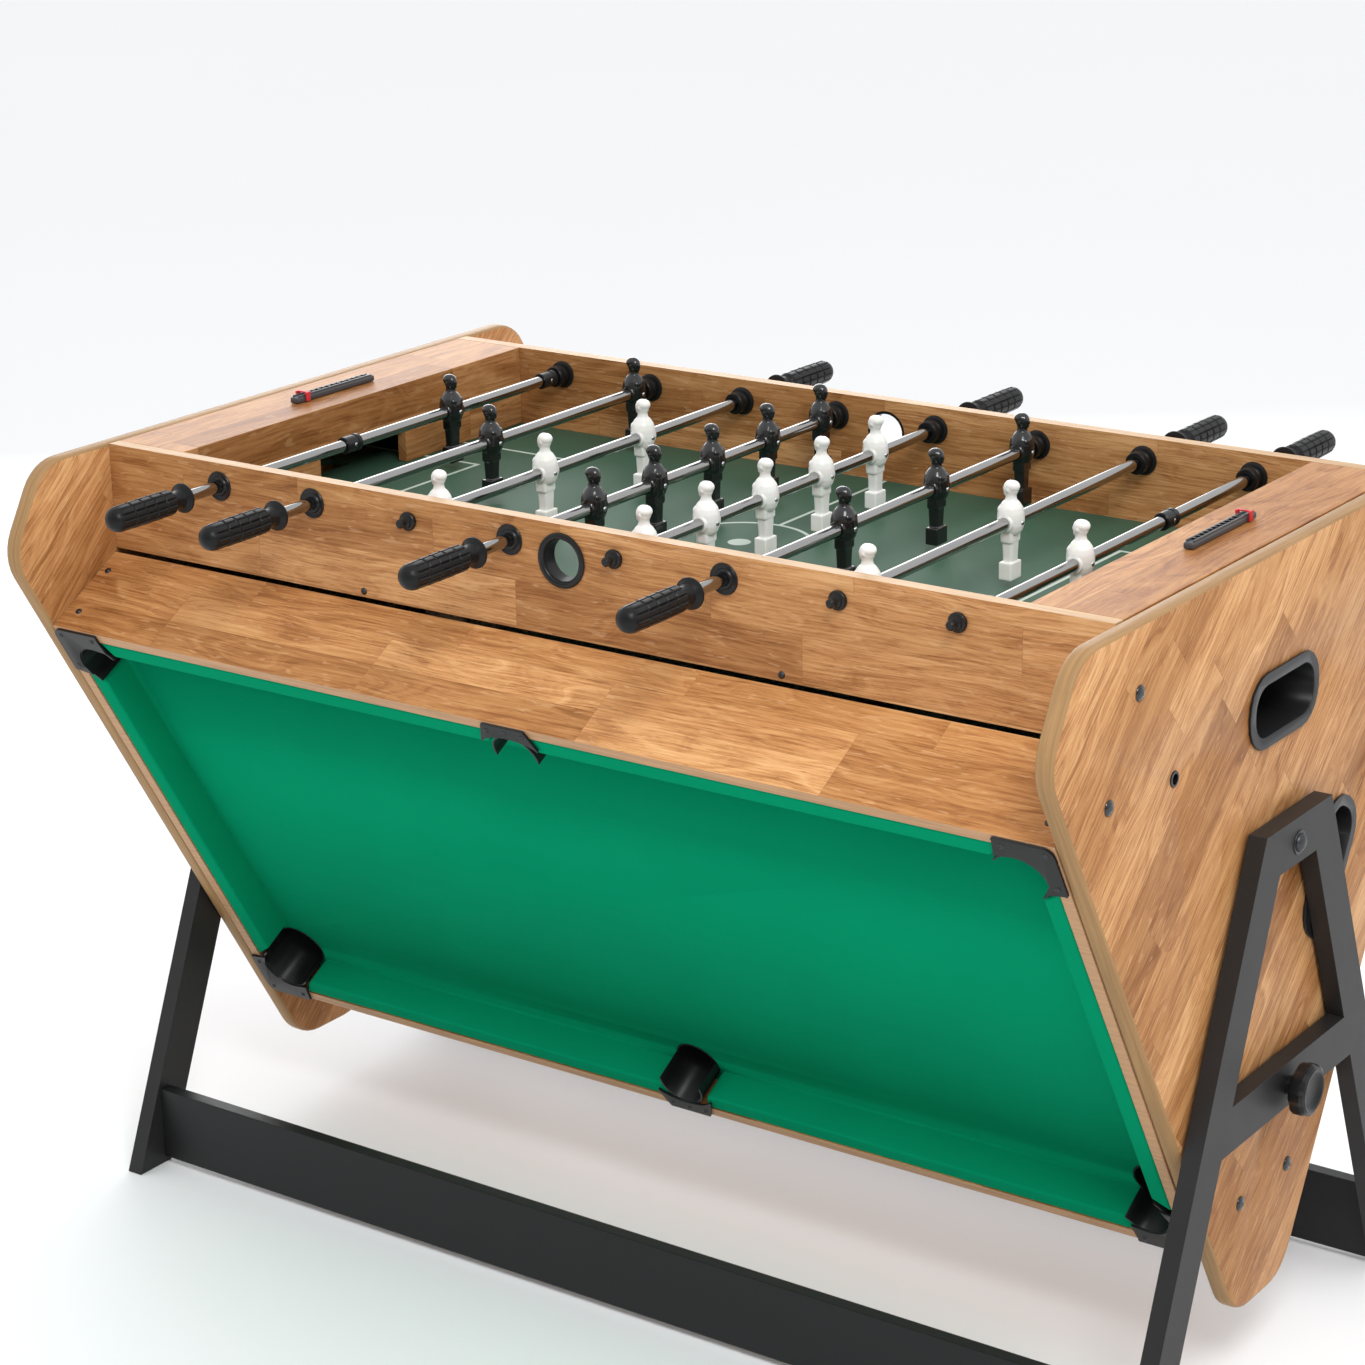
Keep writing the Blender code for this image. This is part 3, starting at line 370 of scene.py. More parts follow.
def rink_top():
    """The hockey board: white lacquer with blue lines, a red middle line and air holes of painted
    shade.
    """
    paint = Paint("rink_lacquer", 0.22, Coat_Weight=0.3)
    x = paint.along((1, 0, 0))
    down = Matrix.Rotation(radians(GAMES["hockey"]), 3, "X") @ Vector((0, 1, 0))
    y = paint.along(down) - PIVOT.dot(down)
    middle = (x * x + y * y).math("SQRT")
    line, soft = 0.003, 0.0004  # half the width of a line, and of its soft edge
    circle_radius, zone_at, hole_pitch = 0.085, 0.24, 0.025

    def band(distance):
        return paint.step(distance.math("ABSOLUTE"), line + soft, line - soft)

    centre, circle = band(x), band(middle - circle_radius)
    zone = band(x.math("ABSOLUTE") - zone_at)
    cell = [((axis / hole_pitch).math("FRACT") - 0.5) * hole_pitch for axis in (x, y)]
    # The air holes are painted shade: near-black dots for the dark insides of the holes, over a
    # shallow dent.
    shaded_holes = paint.step((cell[0] * cell[0] + cell[1] * cell[1]).math("SQRT"), 0.0010, 0.0007)
    cloud = paint.noise(12.0, 3.0)
    white = paint.mix(cloud, (0.74, 0.77, 0.80), (0.82, 0.84, 0.86))
    red = paint.mix(centre.math("MAXIMUM", circle), white, (0.50, 0.02, 0.03))
    blue = paint.mix(zone, red, (0.02, 0.08, 0.42))
    # Painted shade: the air holes laid over the lacquer as near-black dots.
    paint.set("Base Color", paint.mix(shaded_holes, blue, (0.02, 0.02, 0.022)))
    paint.set("Roughness", 0.18 + cloud * 0.10)
    paint.bump(shaded_holes, -0.0003)
    return paint.material


def box_oak(game, seed):
    """The oak of a game's box, whose long walls look across the game."""
    turn = Matrix.Rotation(radians(GAMES[game]), 3, "X")
    out, wide = turn @ Vector((0, 0, 1)), turn @ Vector((0, 1, 0))
    return oak(f"oak_{game}_box", along=(1, 0, 0), across=out, stave=(0.27, 0.0385), face=wide,
               edge=(0.58, 0.340, 0.185), seed=seed, tint=(1.13, 1.12, 1.08))


BLACK = (0.0085, 0.0085, 0.0092)
DEEP_BLACK = (0.0055, 0.0055, 0.006)
finishes = {
    "panel": oak("oak_end_panel", along=(0, 1, 0), across=(0, 0, 1), stave=(0.34, 0.043),
                 face=(1, 0, 0), edge=(0.41, 0.240, 0.105), tilt=radians(42), seed=3),
    "apron": oak("oak_apron", along=(1, 0, 0), across=(0, 0, 1), stave=(0.33, 0.046),
                 face=(0, 1, 0), edge=(0.62, 0.40, 0.22), seed=1),
    "ledge": oak("oak_ledge", along=(0, 1, 0), across=(0.7071, 0, 0.7071), stave=(0.42, 0.040),
                 seed=2, tint=(0.80, 0.73, 0.66)),
    "plastic": moulded("black_plastic", BLACK, 0.32, Specular_IOR_Level=0.28),
    "gloss_black": moulded("black_men_gloss", DEEP_BLACK, 0.18, 300.0, 0.00003,
                           Coat_Weight=0.35, Coat_Roughness=0.10),
    "ivory": moulded("ivory_men_gloss", (0.93, 0.915, 0.82), 0.34, 300.0, 0.00003,
                     Coat_Weight=0.2, Coat_Roughness=0.15, Subsurface_Weight=0.12,
                     Subsurface_Scale=0.004),
    "rubber": moulded("grip_rubber", DEEP_BLACK, 0.36, 1600.0, 0.00006,
                      Specular_IOR_Level=0.22),
    "scorer": moulded("scorer_grey", (0.050, 0.052, 0.056), 0.38),
    "red": moulded("marker_red", (0.62, 0.025, 0.040), 0.34),
    "chrome": polished("chrome_tube", (0.36, 0.355, 0.35), 0.06, (0, 1, 0)),
    "screw": polished("bright_screw", (0.62, 0.62, 0.64), 0.24, (1, 0, 0)),
    "dark_steel": polished("black_oxide", (0.075, 0.075, 0.080), 0.34, (1, 0, 0)),
    "frame": powder_coat("charcoal_coat", (0.022, 0.0212, 0.0214)),
    "stretcher": powder_coat("dark_board", (0.0135, 0.0135, 0.0142)),
    "felt": cloth("green_cloth", (0.0012, 0.300, 0.140), (0.003, 0.35, 0.165)),
    "pitch": pitch(),
    "rink": rink_top(),
    "pool_box": box_oak("pool", 5),
    "hockey_box": box_oak("hockey", 9),
}


# ---- modelling helpers ---------------------------------------------------------------------


def game_frame(game):
    """A game's own frame: x along the table, y across it, z out from the pivot line."""
    return Matrix.Translation(PIVOT) @ Matrix.Rotation(radians(GAMES[game]), 4, "X")


def facing_x(x, y, z, side):
    """Local z to +X or -X at a point, with local y up."""
    turn = Matrix.Rotation(radians(90), 4, "Z") @ Matrix.Rotation(radians(90), 4, "X")
    if side < 0:
        turn = Matrix.Rotation(radians(180), 4, "Z") @ turn
    return Matrix.Translation((x, y, z)) @ turn


def facing_y(x, y, z, side):
    """Local z to +Y or -Y at a point, with local y up."""
    turn = Matrix.Rotation(radians(90), 4, "X")
    if side > 0:
        turn = Matrix.Rotation(radians(180), 4, "Z") @ turn
    return Matrix.Translation((x, y, z)) @ turn


def finish(name, shape, looks, body, stands_for=(), sharp=38, bevel=0.0, segments=2):
    """Makes a bmesh a piece that rides on a body, with smooth faces between sharp edges."""
    mesh = bpy.data.meshes.new(name)
    shape.to_mesh(mesh)
    shape.free()
    mesh.shade_smooth()
    mesh.set_sharp_from_angle(angle=radians(sharp))
    for look in looks if isinstance(looks, (list, tuple)) else [looks]:
        mesh.materials.append(finishes[look])
    piece = bpy.data.objects.new(name, mesh)
    bpy.context.scene.collection.objects.link(piece)
    if bevel:
        softener = piece.modifiers.new("soft_edges", "BEVEL")
        softener.width = bevel
        softener.segments = segments
        softener.limit_method = "ANGLE"
        softener.angle_limit = radians(sharp)
        softener.harden_normals = True
        softener.use_clamp_overlap = True
    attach(piece, body)
    if stands_for:
        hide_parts(*stands_for)


def spun(shape, profile, matrix, steps=32, look=0):
    """Adds a closed ring or a capped solid turned about local z. The profile is (radius, z)."""
    points = [shape.verts.new((radius, 0.0, z)) for radius, z in profile]
    edges = [shape.edges.new(pair) for pair in zip(points, points[1:])]
    if profile[0][0] > 0 and profile[-1][0] > 0:
        edges.append(shape.edges.new((points[-1], points[0])))
    before = set(shape.verts) - set(points)
    faces_before = set(shape.faces)
    bmesh.ops.spin(shape, geom=points + edges, axis=(0, 0, 1), cent=(0, 0, 0),
                   dvec=(0, 0, 0), angle=2 * pi, steps=steps, use_merge=True)
    made = [v for v in shape.verts if v not in before]
    bmesh.ops.remove_doubles(shape, verts=made, dist=0.000002)
    made = [v for v in shape.verts if v not in before]
    faces = [f for f in shape.faces if f not in faces_before]
    bmesh.ops.recalc_face_normals(shape, faces=faces)
    for face in faces:
        face.material_index = look
    bmesh.ops.transform(shape, matrix=matrix, verts=made)


def ball(shape, centre, radii, detail=3):
    """Adds an ellipsoid."""
    matrix = Matrix.Translation(centre) @ Matrix.Diagonal((*radii, 1.0))
    bmesh.ops.create_icosphere(shape, subdivisions=detail, radius=1.0, matrix=matrix)


def rounded_block(shape, low, high, radius, matrix=None, look=0, segments=2):
    """Adds a box between two corners with rounded edges."""
    low, high = Vector(low), Vector(high)
    place = Matrix.Translation((low + high) / 2) @ Matrix.Diagonal((*(high - low), 1.0))
    cube = bmesh.new()
    bmesh.ops.create_cube(cube, size=1.0, matrix=place)
    bmesh.ops.bevel(cube, geom=cube.edges[:], offset=radius, offset_type="OFFSET",
                    segments=segments, profile=0.5, affect="EDGES", material=-1)
    for face in cube.faces:
        face.material_index = look
    add(shape, cube, matrix or Matrix())


def add(shape, other, matrix):
    """Adds another bmesh at a place, and frees it."""
    bmesh.ops.transform(other, matrix=matrix, verts=other.verts)
    spare = bpy.data.meshes.new("spare")
    other.to_mesh(spare)
    other.free()
    shape.from_mesh(spare)
    bpy.data.meshes.remove(spare)


def merged_copy(node):
    """A bmesh of a CAD node with its triangles joined into flat faces."""
    shape = bmesh.new()
    shape.from_mesh(frame["nodes"][node].data)
    bmesh.ops.remove_doubles(shape, verts=shape.verts, dist=WELD)
    bmesh.ops.dissolve_limit(shape, angle_limit=NEARLY_FLAT, verts=shape.verts,
                             edges=shape.edges)
    return shape


def softened(node, look, body="cabinet", bevel=0.0007, sharp=38, segments=2):
    """A CAD node with its edges eased, standing for the node."""
    finish(node + "_finished", merged_copy(node), look, body, (node,), sharp, bevel, segments)


def cross_screw(shape, radius, matrix):
    """Adds a domed screw head on local z = 0, in the first look, with a cross in the second."""
    dome = [(0, radius * 0.55), (radius * 0.45, radius * 0.50), (radius * 0.85, radius * 0.28),
            (radius, radius * 0.06), (radius, -0.0002), (0, -0.0002)]
    spun(shape, dome, matrix, 20)
    arm, thin = radius * 0.55, radius * 0.11
    for long_x, long_y in ((arm, thin), (thin, arm)):
        rounded_block(shape, (-long_x, -long_y, radius * 0.3), (long_x, long_y, radius * 0.565),
                      thin * 0.4, matrix, 1, 1)


# ---- stand ---------------------------------------------------------------------------------


def dress_stand():
    """The A-frames, the two stretcher boards, the pivot bolts and the lock knobs."""
    for side, end in (("left", -1), ("right", 1)):
        softened(f"{side}_a_frame", "frame", "stand", 0.0016, 30, 3)
        dress_pivot_bolt(side, end)
        dress_knob(side, end)
    for end in ("front", "rear"):
        softened(f"{end}_stretcher", "stretcher", "stand", 0.0012, 30, 2)


def dress_pivot_bolt(side, end):
    """A domed bolt head on the A-frame, its shaft and the nut inside the end panel."""
    shaft, bore = 0.006, 0.0062
    shaft_length = FRAME_OUT - (INNER_HALF - 0.017)
    place = facing_x(end * FRAME_OUT, PIVOT.y, PIVOT.z, end)
    shape = bmesh.new()
    spun(shape, [(0, 0.0062), (0.0045, 0.0058), (0.0078, 0.0040), (0.0092, 0.0018),
                 (0.0092, 0.0012), (0.0120, 0.0010), (0.0122, 0.0004), (0.0122, 0.0002),
                 (0, 0.0002)], place, 32)
    spun(shape, [(0, 0.0), (shaft, 0.0), (shaft, -shaft_length), (0, -shaft_length)], place, 24)
    spun(shape, [(bore, 0.0), (0.011, 0.0), (0.011, -0.008), (bore, -0.008)],
         facing_x(end * (INNER_HALF - 0.004), PIVOT.y, PIVOT.z, end), 6)
    finish(f"{side}_pivot_bolt_finished", shape, "dark_steel", "stand", (f"{side}_pivot_bolt",))


def dress_knob(side, end):
    """The lock knob: eight finger scallops round a dished face, on a stepped pin."""
    low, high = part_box(f"{side}_lock_knob")
    front = max(abs(low.x), abs(high.x))
    tip = min(abs(low.x), abs(high.x))
    radius = (high.z - low.z) / 2
    middle = (high.z + low.z) / 2
    back = front - 0.018
    shape = bmesh.new()
    spun(shape, [(0, 0.0128), (0.0115, 0.0132), (0.0165, 0.0150), (0.0190, 0.0176),
                 (0.0215, 0.0180), (0.0248, 0.0166), (radius, 0.0136), (radius, 0.0046),
                 (0.0250, 0.0014), (0.0215, 0.0), (0, 0.0)], Matrix(), 96)
    lobes, lobe_depth, plain = 8, 0.10, 0.020
    for vert in shape.verts:
        reach = vert.co.xy.length
        if reach > plain:
            wave = 0.5 - 0.5 * cos(lobes * atan2(vert.co.y, vert.co.x))
            vert.co.xy *= 1 - lobe_depth * wave * (reach - plain) / (radius - plain)
    bmesh.ops.transform(shape, matrix=facing_x(end * back, 0, middle, end), verts=shape.verts)
    pin = facing_x(end * tip, 0, middle, end)
    spun(shape, [(0, back - tip), (0.009, back - tip), (0.009, 0.0115), (0.0082, 0.0108),
                 (0.0050, 0.0108), (0.0050, 0.0010), (0.0040, 0.0), (0, 0.0)], pin, 32)
    finish(f"{side}_lock_knob_finished", shape, "plastic", f"{side}_lock_knob",
           (f"{side}_lock_knob",), 30)


# ---- cabinet -------------------------------------------------------------------------------


def dress_cabinet():
    """The end panels and the three game boxes, with the fittings on them."""
    for side in ("left", "right"):
        softened(f"{side}_end_panel", "panel", bevel=0.0, sharp=50)
        softened(f"football_{side}_goal_box", "ledge", bevel=0.0008)
        for game in ("football", "hockey"):
            softened(f"{game}_return_{side}", "plastic", bevel=0.0008, sharp=50)
    for end in ("front", "rear"):
        softened(f"football_{end}_apron", "apron", bevel=0.0008)
    softened("playfield", "pitch", bevel=0.0)
    softened("pool_box", "pool_box", bevel=0.0008)
    softened("hockey_box", "hockey_box", bevel=0.0008)
    softened("hockey_rink", "rink", bevel=0.0004)
    dress_end_bolts()
    dress_wall_screws()
    dress_serve_rings()
    dress_scorers()


def dress_end_bolts():
    """Two domed bolts by each face, and a lined socket for the lock pin, on both end panels."""
    bolt_out, bolt_across, recess = 0.225, 0.287, 0.0022
    for side, end in (("left", -1), ("right", 1)):
        shape = bmesh.new()
        for game in GAMES:
            for across in (-bolt_across, bolt_across):
                spot = game_frame(game) @ Vector((0, across, bolt_out))
                place = facing_x(end * (PANEL_OUT + HAIR), spot.y, spot.z, end)
                spun(shape, [(0, 0.0029), (0.0040, 0.0027), (0.0066, 0.0016), (0.0076, 0.0003),
                             (0.0076, 0), (0, 0)], place, 24)
                rounded_block(shape, (-recess, -recess, 0.0015), (recess, recess, 0.00297),
                              0.0004, place, 1, 1)
        finish(f"{side}_end_bolts", shape, ["gloss_black", "dark_steel"], "cabinet")
        shape = bmesh.new()
        for angle in LOCK_ANGLES:
            y, z = LOCK_RADIUS * cos(radians(angle)), LOCK_RADIUS * sin(radians(angle))
            place = facing_x(end * PANEL_OUT, y, PIVOT.z + z, end)
            spun(shape, [(0.0052, 0.0008), (0.0072, 0.0008), (0.0076, 0.0003), (0.0076, 0.0002),
                         (0.00525, 0.0002), (0.00525, -0.016), (0.0050, -0.016)], place, 24)
        finish(f"{side}_lock_sockets", shape, "dark_steel", "cabinet")


def dress_wall_screws():
    """Screws along the foot of each apron and at the ends of each box wall."""
    wall = HALF_WIDTH + HAIR
    apron_screw_x, apron_screw_deep = 0.250, 0.106
    wall_screws = (0.580, 0.085), (0.574, 0.025)  # along the wall, and down from the rim
    shape = bmesh.new()
    for side in (-1, 1):
        for x in (-apron_screw_x, apron_screw_x):
            place = facing_y(x, side * wall, RIM - apron_screw_deep, side)
            cross_screw(shape, WALL_SCREW, place)
    for game in ("pool", "hockey"):
        for side in (-1, 1):
            turn = Matrix.Rotation(radians(-90 * side), 4, "X")
            for x, deep in wall_screws:
                for end in (-1, 1):
                    spot = Matrix.Translation((end * x, side * wall, FACE_OUT - deep))
                    cross_screw(shape, WALL_SCREW, game_frame(game) @ spot @ turn)
    finish("cabinet_screws", shape, ["dark_steel", "plastic"], "cabinet")


def dress_serve_rings():
    """The rings that line the serve holes in the aprons."""
    for end, side in (("front", -1), ("rear", 1)):
        low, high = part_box(f"{end}_serve_ring")
        out = high.y if side > 0 else -low.y
        wall = out - 0.003
        place = facing_y(0, 0, (low.z + high.z) / 2, side)
        shape = bmesh.new()
        spun(shape, [(0.0200, wall - 0.0150), (0.0230, wall - 0.0150), (0.0230, wall),
                     (0.0268, wall), (0.0275, wall + 0.0006), (0.0272, wall + 0.0018),
                     (0.0258, wall + 0.0028), (0.0240, out), (0.0222, wall + 0.0026),
                     (0.0210, wall + 0.0012), (0.0203, wall - 0.0015)], place, 64)
        finish(f"{end}_serve_ring_finished", shape, "plastic", "cabinet", (f"{end}_serve_ring",))


def dress_scorers():
    """A score rail and the red clip that rides on it, on each ledge."""
    for side, end in (("left", -1), ("right", 1)):
        dress_score_rail(side, end)
        dress_score_marker(side)


def dress_score_rail(side, end):
    """A rounded rail with a raised lip along each side and a row of teeth between them."""
    low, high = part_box(f"score_rail_{side}")
    middle, top = (low + high) / 2, high.z
    half_x = (high.x - low.x) / 2
    shape = bmesh.new()
    rounded_block(shape, (middle.x - half_x, low.y, low.z),
                  (middle.x + half_x, high.y, top - 0.0022), 0.0020, None, 0, 3)
    for edge in (-1, 1):
        x = middle.x + edge * (half_x - 0.0019)
        rounded_block(shape, (x - 0.0011, low.y + 0.004, top - 0.0035),
                      (x + 0.0011, high.y - 0.004, top - 0.0006), 0.0005)
    teeth, tooth_pitch, tooth_half, parked = 11, 0.0085, 0.0013, 0.010
    for tooth in range(teeth):
        y = middle.y - end * parked + (tooth - (teeth - 1) / 2) * tooth_pitch
        rounded_block(shape, (middle.x - half_x + 0.0028, y - tooth_half, top - 0.0035),
                      (middle.x + half_x - 0.0028, y + tooth_half, top - 0.0002), 0.0005, None, 1)
    finish(f"score_rail_{side}_finished", shape, ["scorer", "plastic"], "cabinet",
           (f"score_rail_{side}",))


def dress_score_marker(side):
    """A clip of two thin cheeks, a rib along the top of each and a bridge between them."""
    low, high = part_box(f"score_marker_{side}")
    shape = bmesh.new()
    for x in (low.x + 0.0011, high.x - 0.0011):
        rounded_block(shape, (x - 0.0010, low.y + 0.0008, low.z + 0.0005),
                      (x + 0.0010, high.y - 0.0008, high.z - 0.0007), 0.0006)
        rounded_block(shape, (x - 0.0011, low.y, high.z - 0.0035),
                      (x + 0.0011, high.y, high.z - 0.0003), 0.0007)
    rounded_block(shape, (low.x + 0.0004, low.y + 0.0026, high.z - 0.0019),
                  (high.x - 0.0004, high.y - 0.0026, high.z - 0.0004), 0.0005)
    finish(f"score_marker_{side}_finished", shape, "red", f"score_marker_{side}",
           (f"score_marker_{side}",))


# ---- football rods -------------------------------------------------------------------------


def moulded_man():
    """One moulded player with his rod line at the origin, facing +x, as one smooth skin."""
    shape = bmesh.new()
    along_rod = Matrix.Rotation(radians(90), 4, "X")
    ball(shape, (0.0004, 0, 0.0325), (0.0078, 0.0066, 0.0086))
    ball(shape, (-0.0014, 0, 0.0350), (0.0076, 0.0071, 0.0060))
    ball(shape, (0.0042, 0, 0.0283), (0.0037, 0.0040, 0.0038))
    ball(shape, (0.0080, 0, 0.0318), (0.0014, 0.0012, 0.0021), 2)
    bust = [(0, 0.0300), (0.0056, 0.0285), (0.0052, 0.0250), (0.0059, 0.0218), (0.0088, 0.0188),
            (0.0116, 0.0145), (0.0131, 0.0090), (0.0136, 0.0030), (0.0132, -0.0030),
            (0.0116, -0.0080), (0.0098, -0.0112), (0, -0.0125)]
    spun(shape, bust, Matrix(), 32)
    for side in (-1, 1):
        ball(shape, (0.0002, side * 0.0066, 0.0320), (0.0016, 0.0010, 0.0021), 2)
        ball(shape, (0.0006, side * 0.0102, 0.0055), (0.0052, 0.0032, 0.0100))
        ball(shape, (0.0066, side * 0.0046, 0.0118), (0.0052, 0.0052, 0.0048))
    spun(shape, [(0, 0.0133), (0.0078, 0.0133), (0.0086, 0.0125), (0.0086, -0.0125),
                 (0.0078, -0.0133), (0, -0.0133)], along_rod, 32)
    legs = bmesh.new()
    bmesh.ops.create_cube(legs, size=1.0, matrix=Matrix.Translation((0, 0, -0.5)))
    for vert in legs.verts:
        foot = vert.co.z < -0.5
        deep, wide, z = (0.0104, 0.0132, -0.043) if foot else (0.0128, 0.0172, -0.003)
        vert.co = Vector((vert.co.x * deep, vert.co.y * wide, z))
    bmesh.ops.bevel(legs, geom=legs.edges[:], offset=0.0026, offset_type="OFFSET", segments=3,
                    profile=0.5, affect="EDGES", material=-1)
    add(shape, legs, Matrix())
    rounded_block(shape, (-0.0064, -0.0096, -0.0210), (0.0068, 0.0096, -0.0080), 0.0024, None, 0, 3)
    rounded_block(shape, (-0.0068, -0.0104, -0.0578), (0.0072, 0.0104, -0.0400), 0.0009)
    mesh = bpy.data.meshes.new("man_parts")
    shape.to_mesh(mesh)
    shape.free()
    model = bpy.data.objects.new("man_model", mesh)
    bpy.context.scene.collection.objects.link(model)
    fuse = model.modifiers.new("fuse", "REMESH")
    fuse.mode = "VOXEL"
    fuse.voxel_size = 0.00062
    relax = model.modifiers.new("relax", "SMOOTH")
    relax.factor = 0.5
    relax.iterations = 2
    thin = model.modifiers.new("thin", "DECIMATE")
    thin.ratio = 0.24
    bpy.context.view_layer.update()
    skin = bpy.data.meshes.new_from_object(
        model.evaluated_get(bpy.context.evaluated_depsgraph_get()))
    bpy.data.objects.remove(model, do_unlink=True)
    return skin


def men_places(k):
    """The middles of a rod's men along Y, and of its two collars when it has one man."""
    low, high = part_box(f"rod_{k}_{TEAMS[k]}_men")
    away = 1 if TEAMS[k] == "black" else -1
    half_hub = 0.0135
    outer = (high.y if away > 0 else -low.y) - half_hub
    rows = {1: (0.344, 1), 2: (0.260, 2), 3: (0.344, 3), 4: (0.412, 5)}
    spread, count = rows[min(k, len(RODS) + 1 - k)]  # counted from the nearer goal
    if count == 1:
        return [away * (outer - spread / 2)], [away * outer, away * (outer - spread)]
    return [away * (outer - spread * i / (count - 1)) for i in range(count)], []


def dress_rods():
    """The eight rods, each with its tube, men, collars, screws, handle, inner rod and bushes."""
    skin = moulded_man()
    screw_on_hub, screw_on_collar = 0.0131, 0.0083
    for k in RODS:
        black = TEAMS[k] == "black"
        side = -1 if black else 1
        x = JOINTS[f"rod_{k}_spin"]["pos_m"][0]
        node, body = f"rod_{k}_{TEAMS[k]}_men", f"rod_{k}"
        low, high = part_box(node)
        grip_low, grip_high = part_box(f"handle_{k}")
        tip = grip_high.y if side > 0 else -grip_low.y
        start = grip_low.y if side > 0 else -grip_high.y
        far = low.y if side > 0 else -high.y
        place = facing_y(x, 0, ROD_Z, side)

        tube = bmesh.new()
        in_handle = start + 0.02
        spun(tube, [(TUBE_RADIUS - 0.0006, far), (TUBE_BORE, far + 0.0004),
                    (TUBE_BORE, in_handle), (TUBE_RADIUS, in_handle),
                    (TUBE_RADIUS, far + 0.0006)], place, 40)
        finish(f"rod_{k}_tube", tube, "chrome", body, (node,))

        men, collars = men_places(k)
        team = bmesh.new()
        screws = bmesh.new()
        facing = Matrix() if black else Matrix.Rotation(pi, 4, "Z")
        for y in men:
            man = bmesh.new()
            man.from_mesh(skin)
            add(team, man, Matrix.Translation((x, y, ROD_Z)) @ facing)
            cross_screw(screws, HIP_SCREW, facing_x(x + screw_on_hub, y, ROD_Z, 1))
        finish(f"rod_{k}_men", team, "gloss_black" if black else "ivory", body, (node,), 180)
        for y in collars:
            dress_collar(k, x, y, node)
            cross_screw(screws, COLLAR_SCREW, facing_x(x + screw_on_collar, y, ROD_Z, 1))
        finish(f"rod_{k}_screws", screws, ["screw", "plastic"], body)
        dress_handle(k, place, start, tip)
        dress_inner_rod(k, side, place)
        dress_bushes(k, x, side)


def dress_collar(k, x, y, node):
    """A stop collar with a groove round it, clamped on a keeper's tube."""
    bore = TUBE_RADIUS + 0.0002
    ring = bmesh.new()
    spun(ring, [(bore, -0.0112), (0.0082, -0.0115), (0.0090, -0.0108), (0.0090, 0.0030),
                (0.0084, 0.0036), (0.0084, 0.0060), (0.0092, 0.0066), (0.0092, 0.0110),
                (0.0086, 0.0115), (bore, 0.0112)], facing_y(x, y, ROD_Z, 1), 40)
    finish(f"rod_{k}_collar_{'near' if y < 0 else 'far'}", ring, "plastic", f"rod_{k}", (node,))


def dress_handle(k, place, start, tip):
    """A rubber grip of raised pads between grooves round and along it, with a domed tip."""
    radius, deep = 0.0130, 0.0012
    body_from, body_to = start + 0.0225, tip - 0.012
    pads, per_pad = 12, 5
    profile = [(TUBE_RADIUS + 0.0003, start + 0.001), (0.0090, start), (0.0125, start + 0.0006),
               (0.0150, start + 0.0014), (0.0155, start + 0.0026), (0.0152, start + 0.0040),
               (0.0128, start + 0.0056), (0.0104, start + 0.0078), (0.0096, start + 0.0110),
               (0.0095, start + 0.0165), (0.0102, start + 0.0196), (0.0118, start + 0.0214)]
    rings = 5
    long_pad = (body_to - body_from) / rings
    for ring in range(rings):
        z = body_from + ring * long_pad
        swell = 0.0004 * sin(pi * (ring + 0.5) / rings)
        profile += [(radius - 0.0006 + swell, z), (radius + swell, z + 0.0010),
                    (radius + swell, z + long_pad - 0.0022)]
        if ring < rings - 1:
            profile += [(radius - 0.0006 + swell, z + long_pad - 0.0013),
                        (radius - deep, z + long_pad - 0.0007)]
    dome = [(radius * cos(radians(a)), tip - radius * 0.95 * (1 - sin(radians(a))))
            for a in (6, 18, 30, 42, 54, 66, 78)]
    profile += [*dome, (0, tip)]
    shape = bmesh.new()
    spun(shape, [(0, start + 0.001), *profile], Matrix(), pads * per_pad)
    for vert in shape.verts:
        reach = vert.co.xy.length
        turn = round(atan2(vert.co.y, vert.co.x) / (2 * pi) * pads * per_pad)
        if turn % per_pad == 0 and body_from - 0.0002 < vert.co.z < tip - 0.0050:
            vert.co.xy *= (radius - deep) / max(reach, radius - deep)
    bmesh.ops.transform(shape, matrix=place, verts=shape.verts)
    finish(f"handle_{k}_finished", shape, "rubber", f"rod_{k}", (f"handle_{k}",), 28)


def dress_inner_rod(k, side, place):
    """The inner rod in chrome, with the black nub that holds it at the far wall."""
    low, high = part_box(f"inner_rod_{k}")
    near = high.y if side > 0 else -low.y
    nub = -(HALF_WIDTH + 0.0015)
    shape = bmesh.new()
    spun(shape, [(0, near), (INNER_ROD_RADIUS, near), (INNER_ROD_RADIUS, nub - 0.002),
                 (0, nub - 0.002)], place, 28, 0)
    spun(shape, [(0, nub - 0.0152), (0.0030, nub - 0.0149), (0.0045, nub - 0.0136),
                 (0.0047, nub - 0.0112), (0.0039, nub - 0.0100), (0.0041, nub - 0.0070),
                 (0.0062, nub - 0.0058), (0.0068, nub - 0.0036), (0.0088, nub - 0.0028),
                 (0.0095, nub - 0.0018), (0.0095, nub), (0, nub)],
         place, 32, 1)
    finish(f"inner_rod_{k}_finished", shape, ["chrome", "plastic"], f"inner_rod_{k}",
           (f"inner_rod_{k}",), 30)


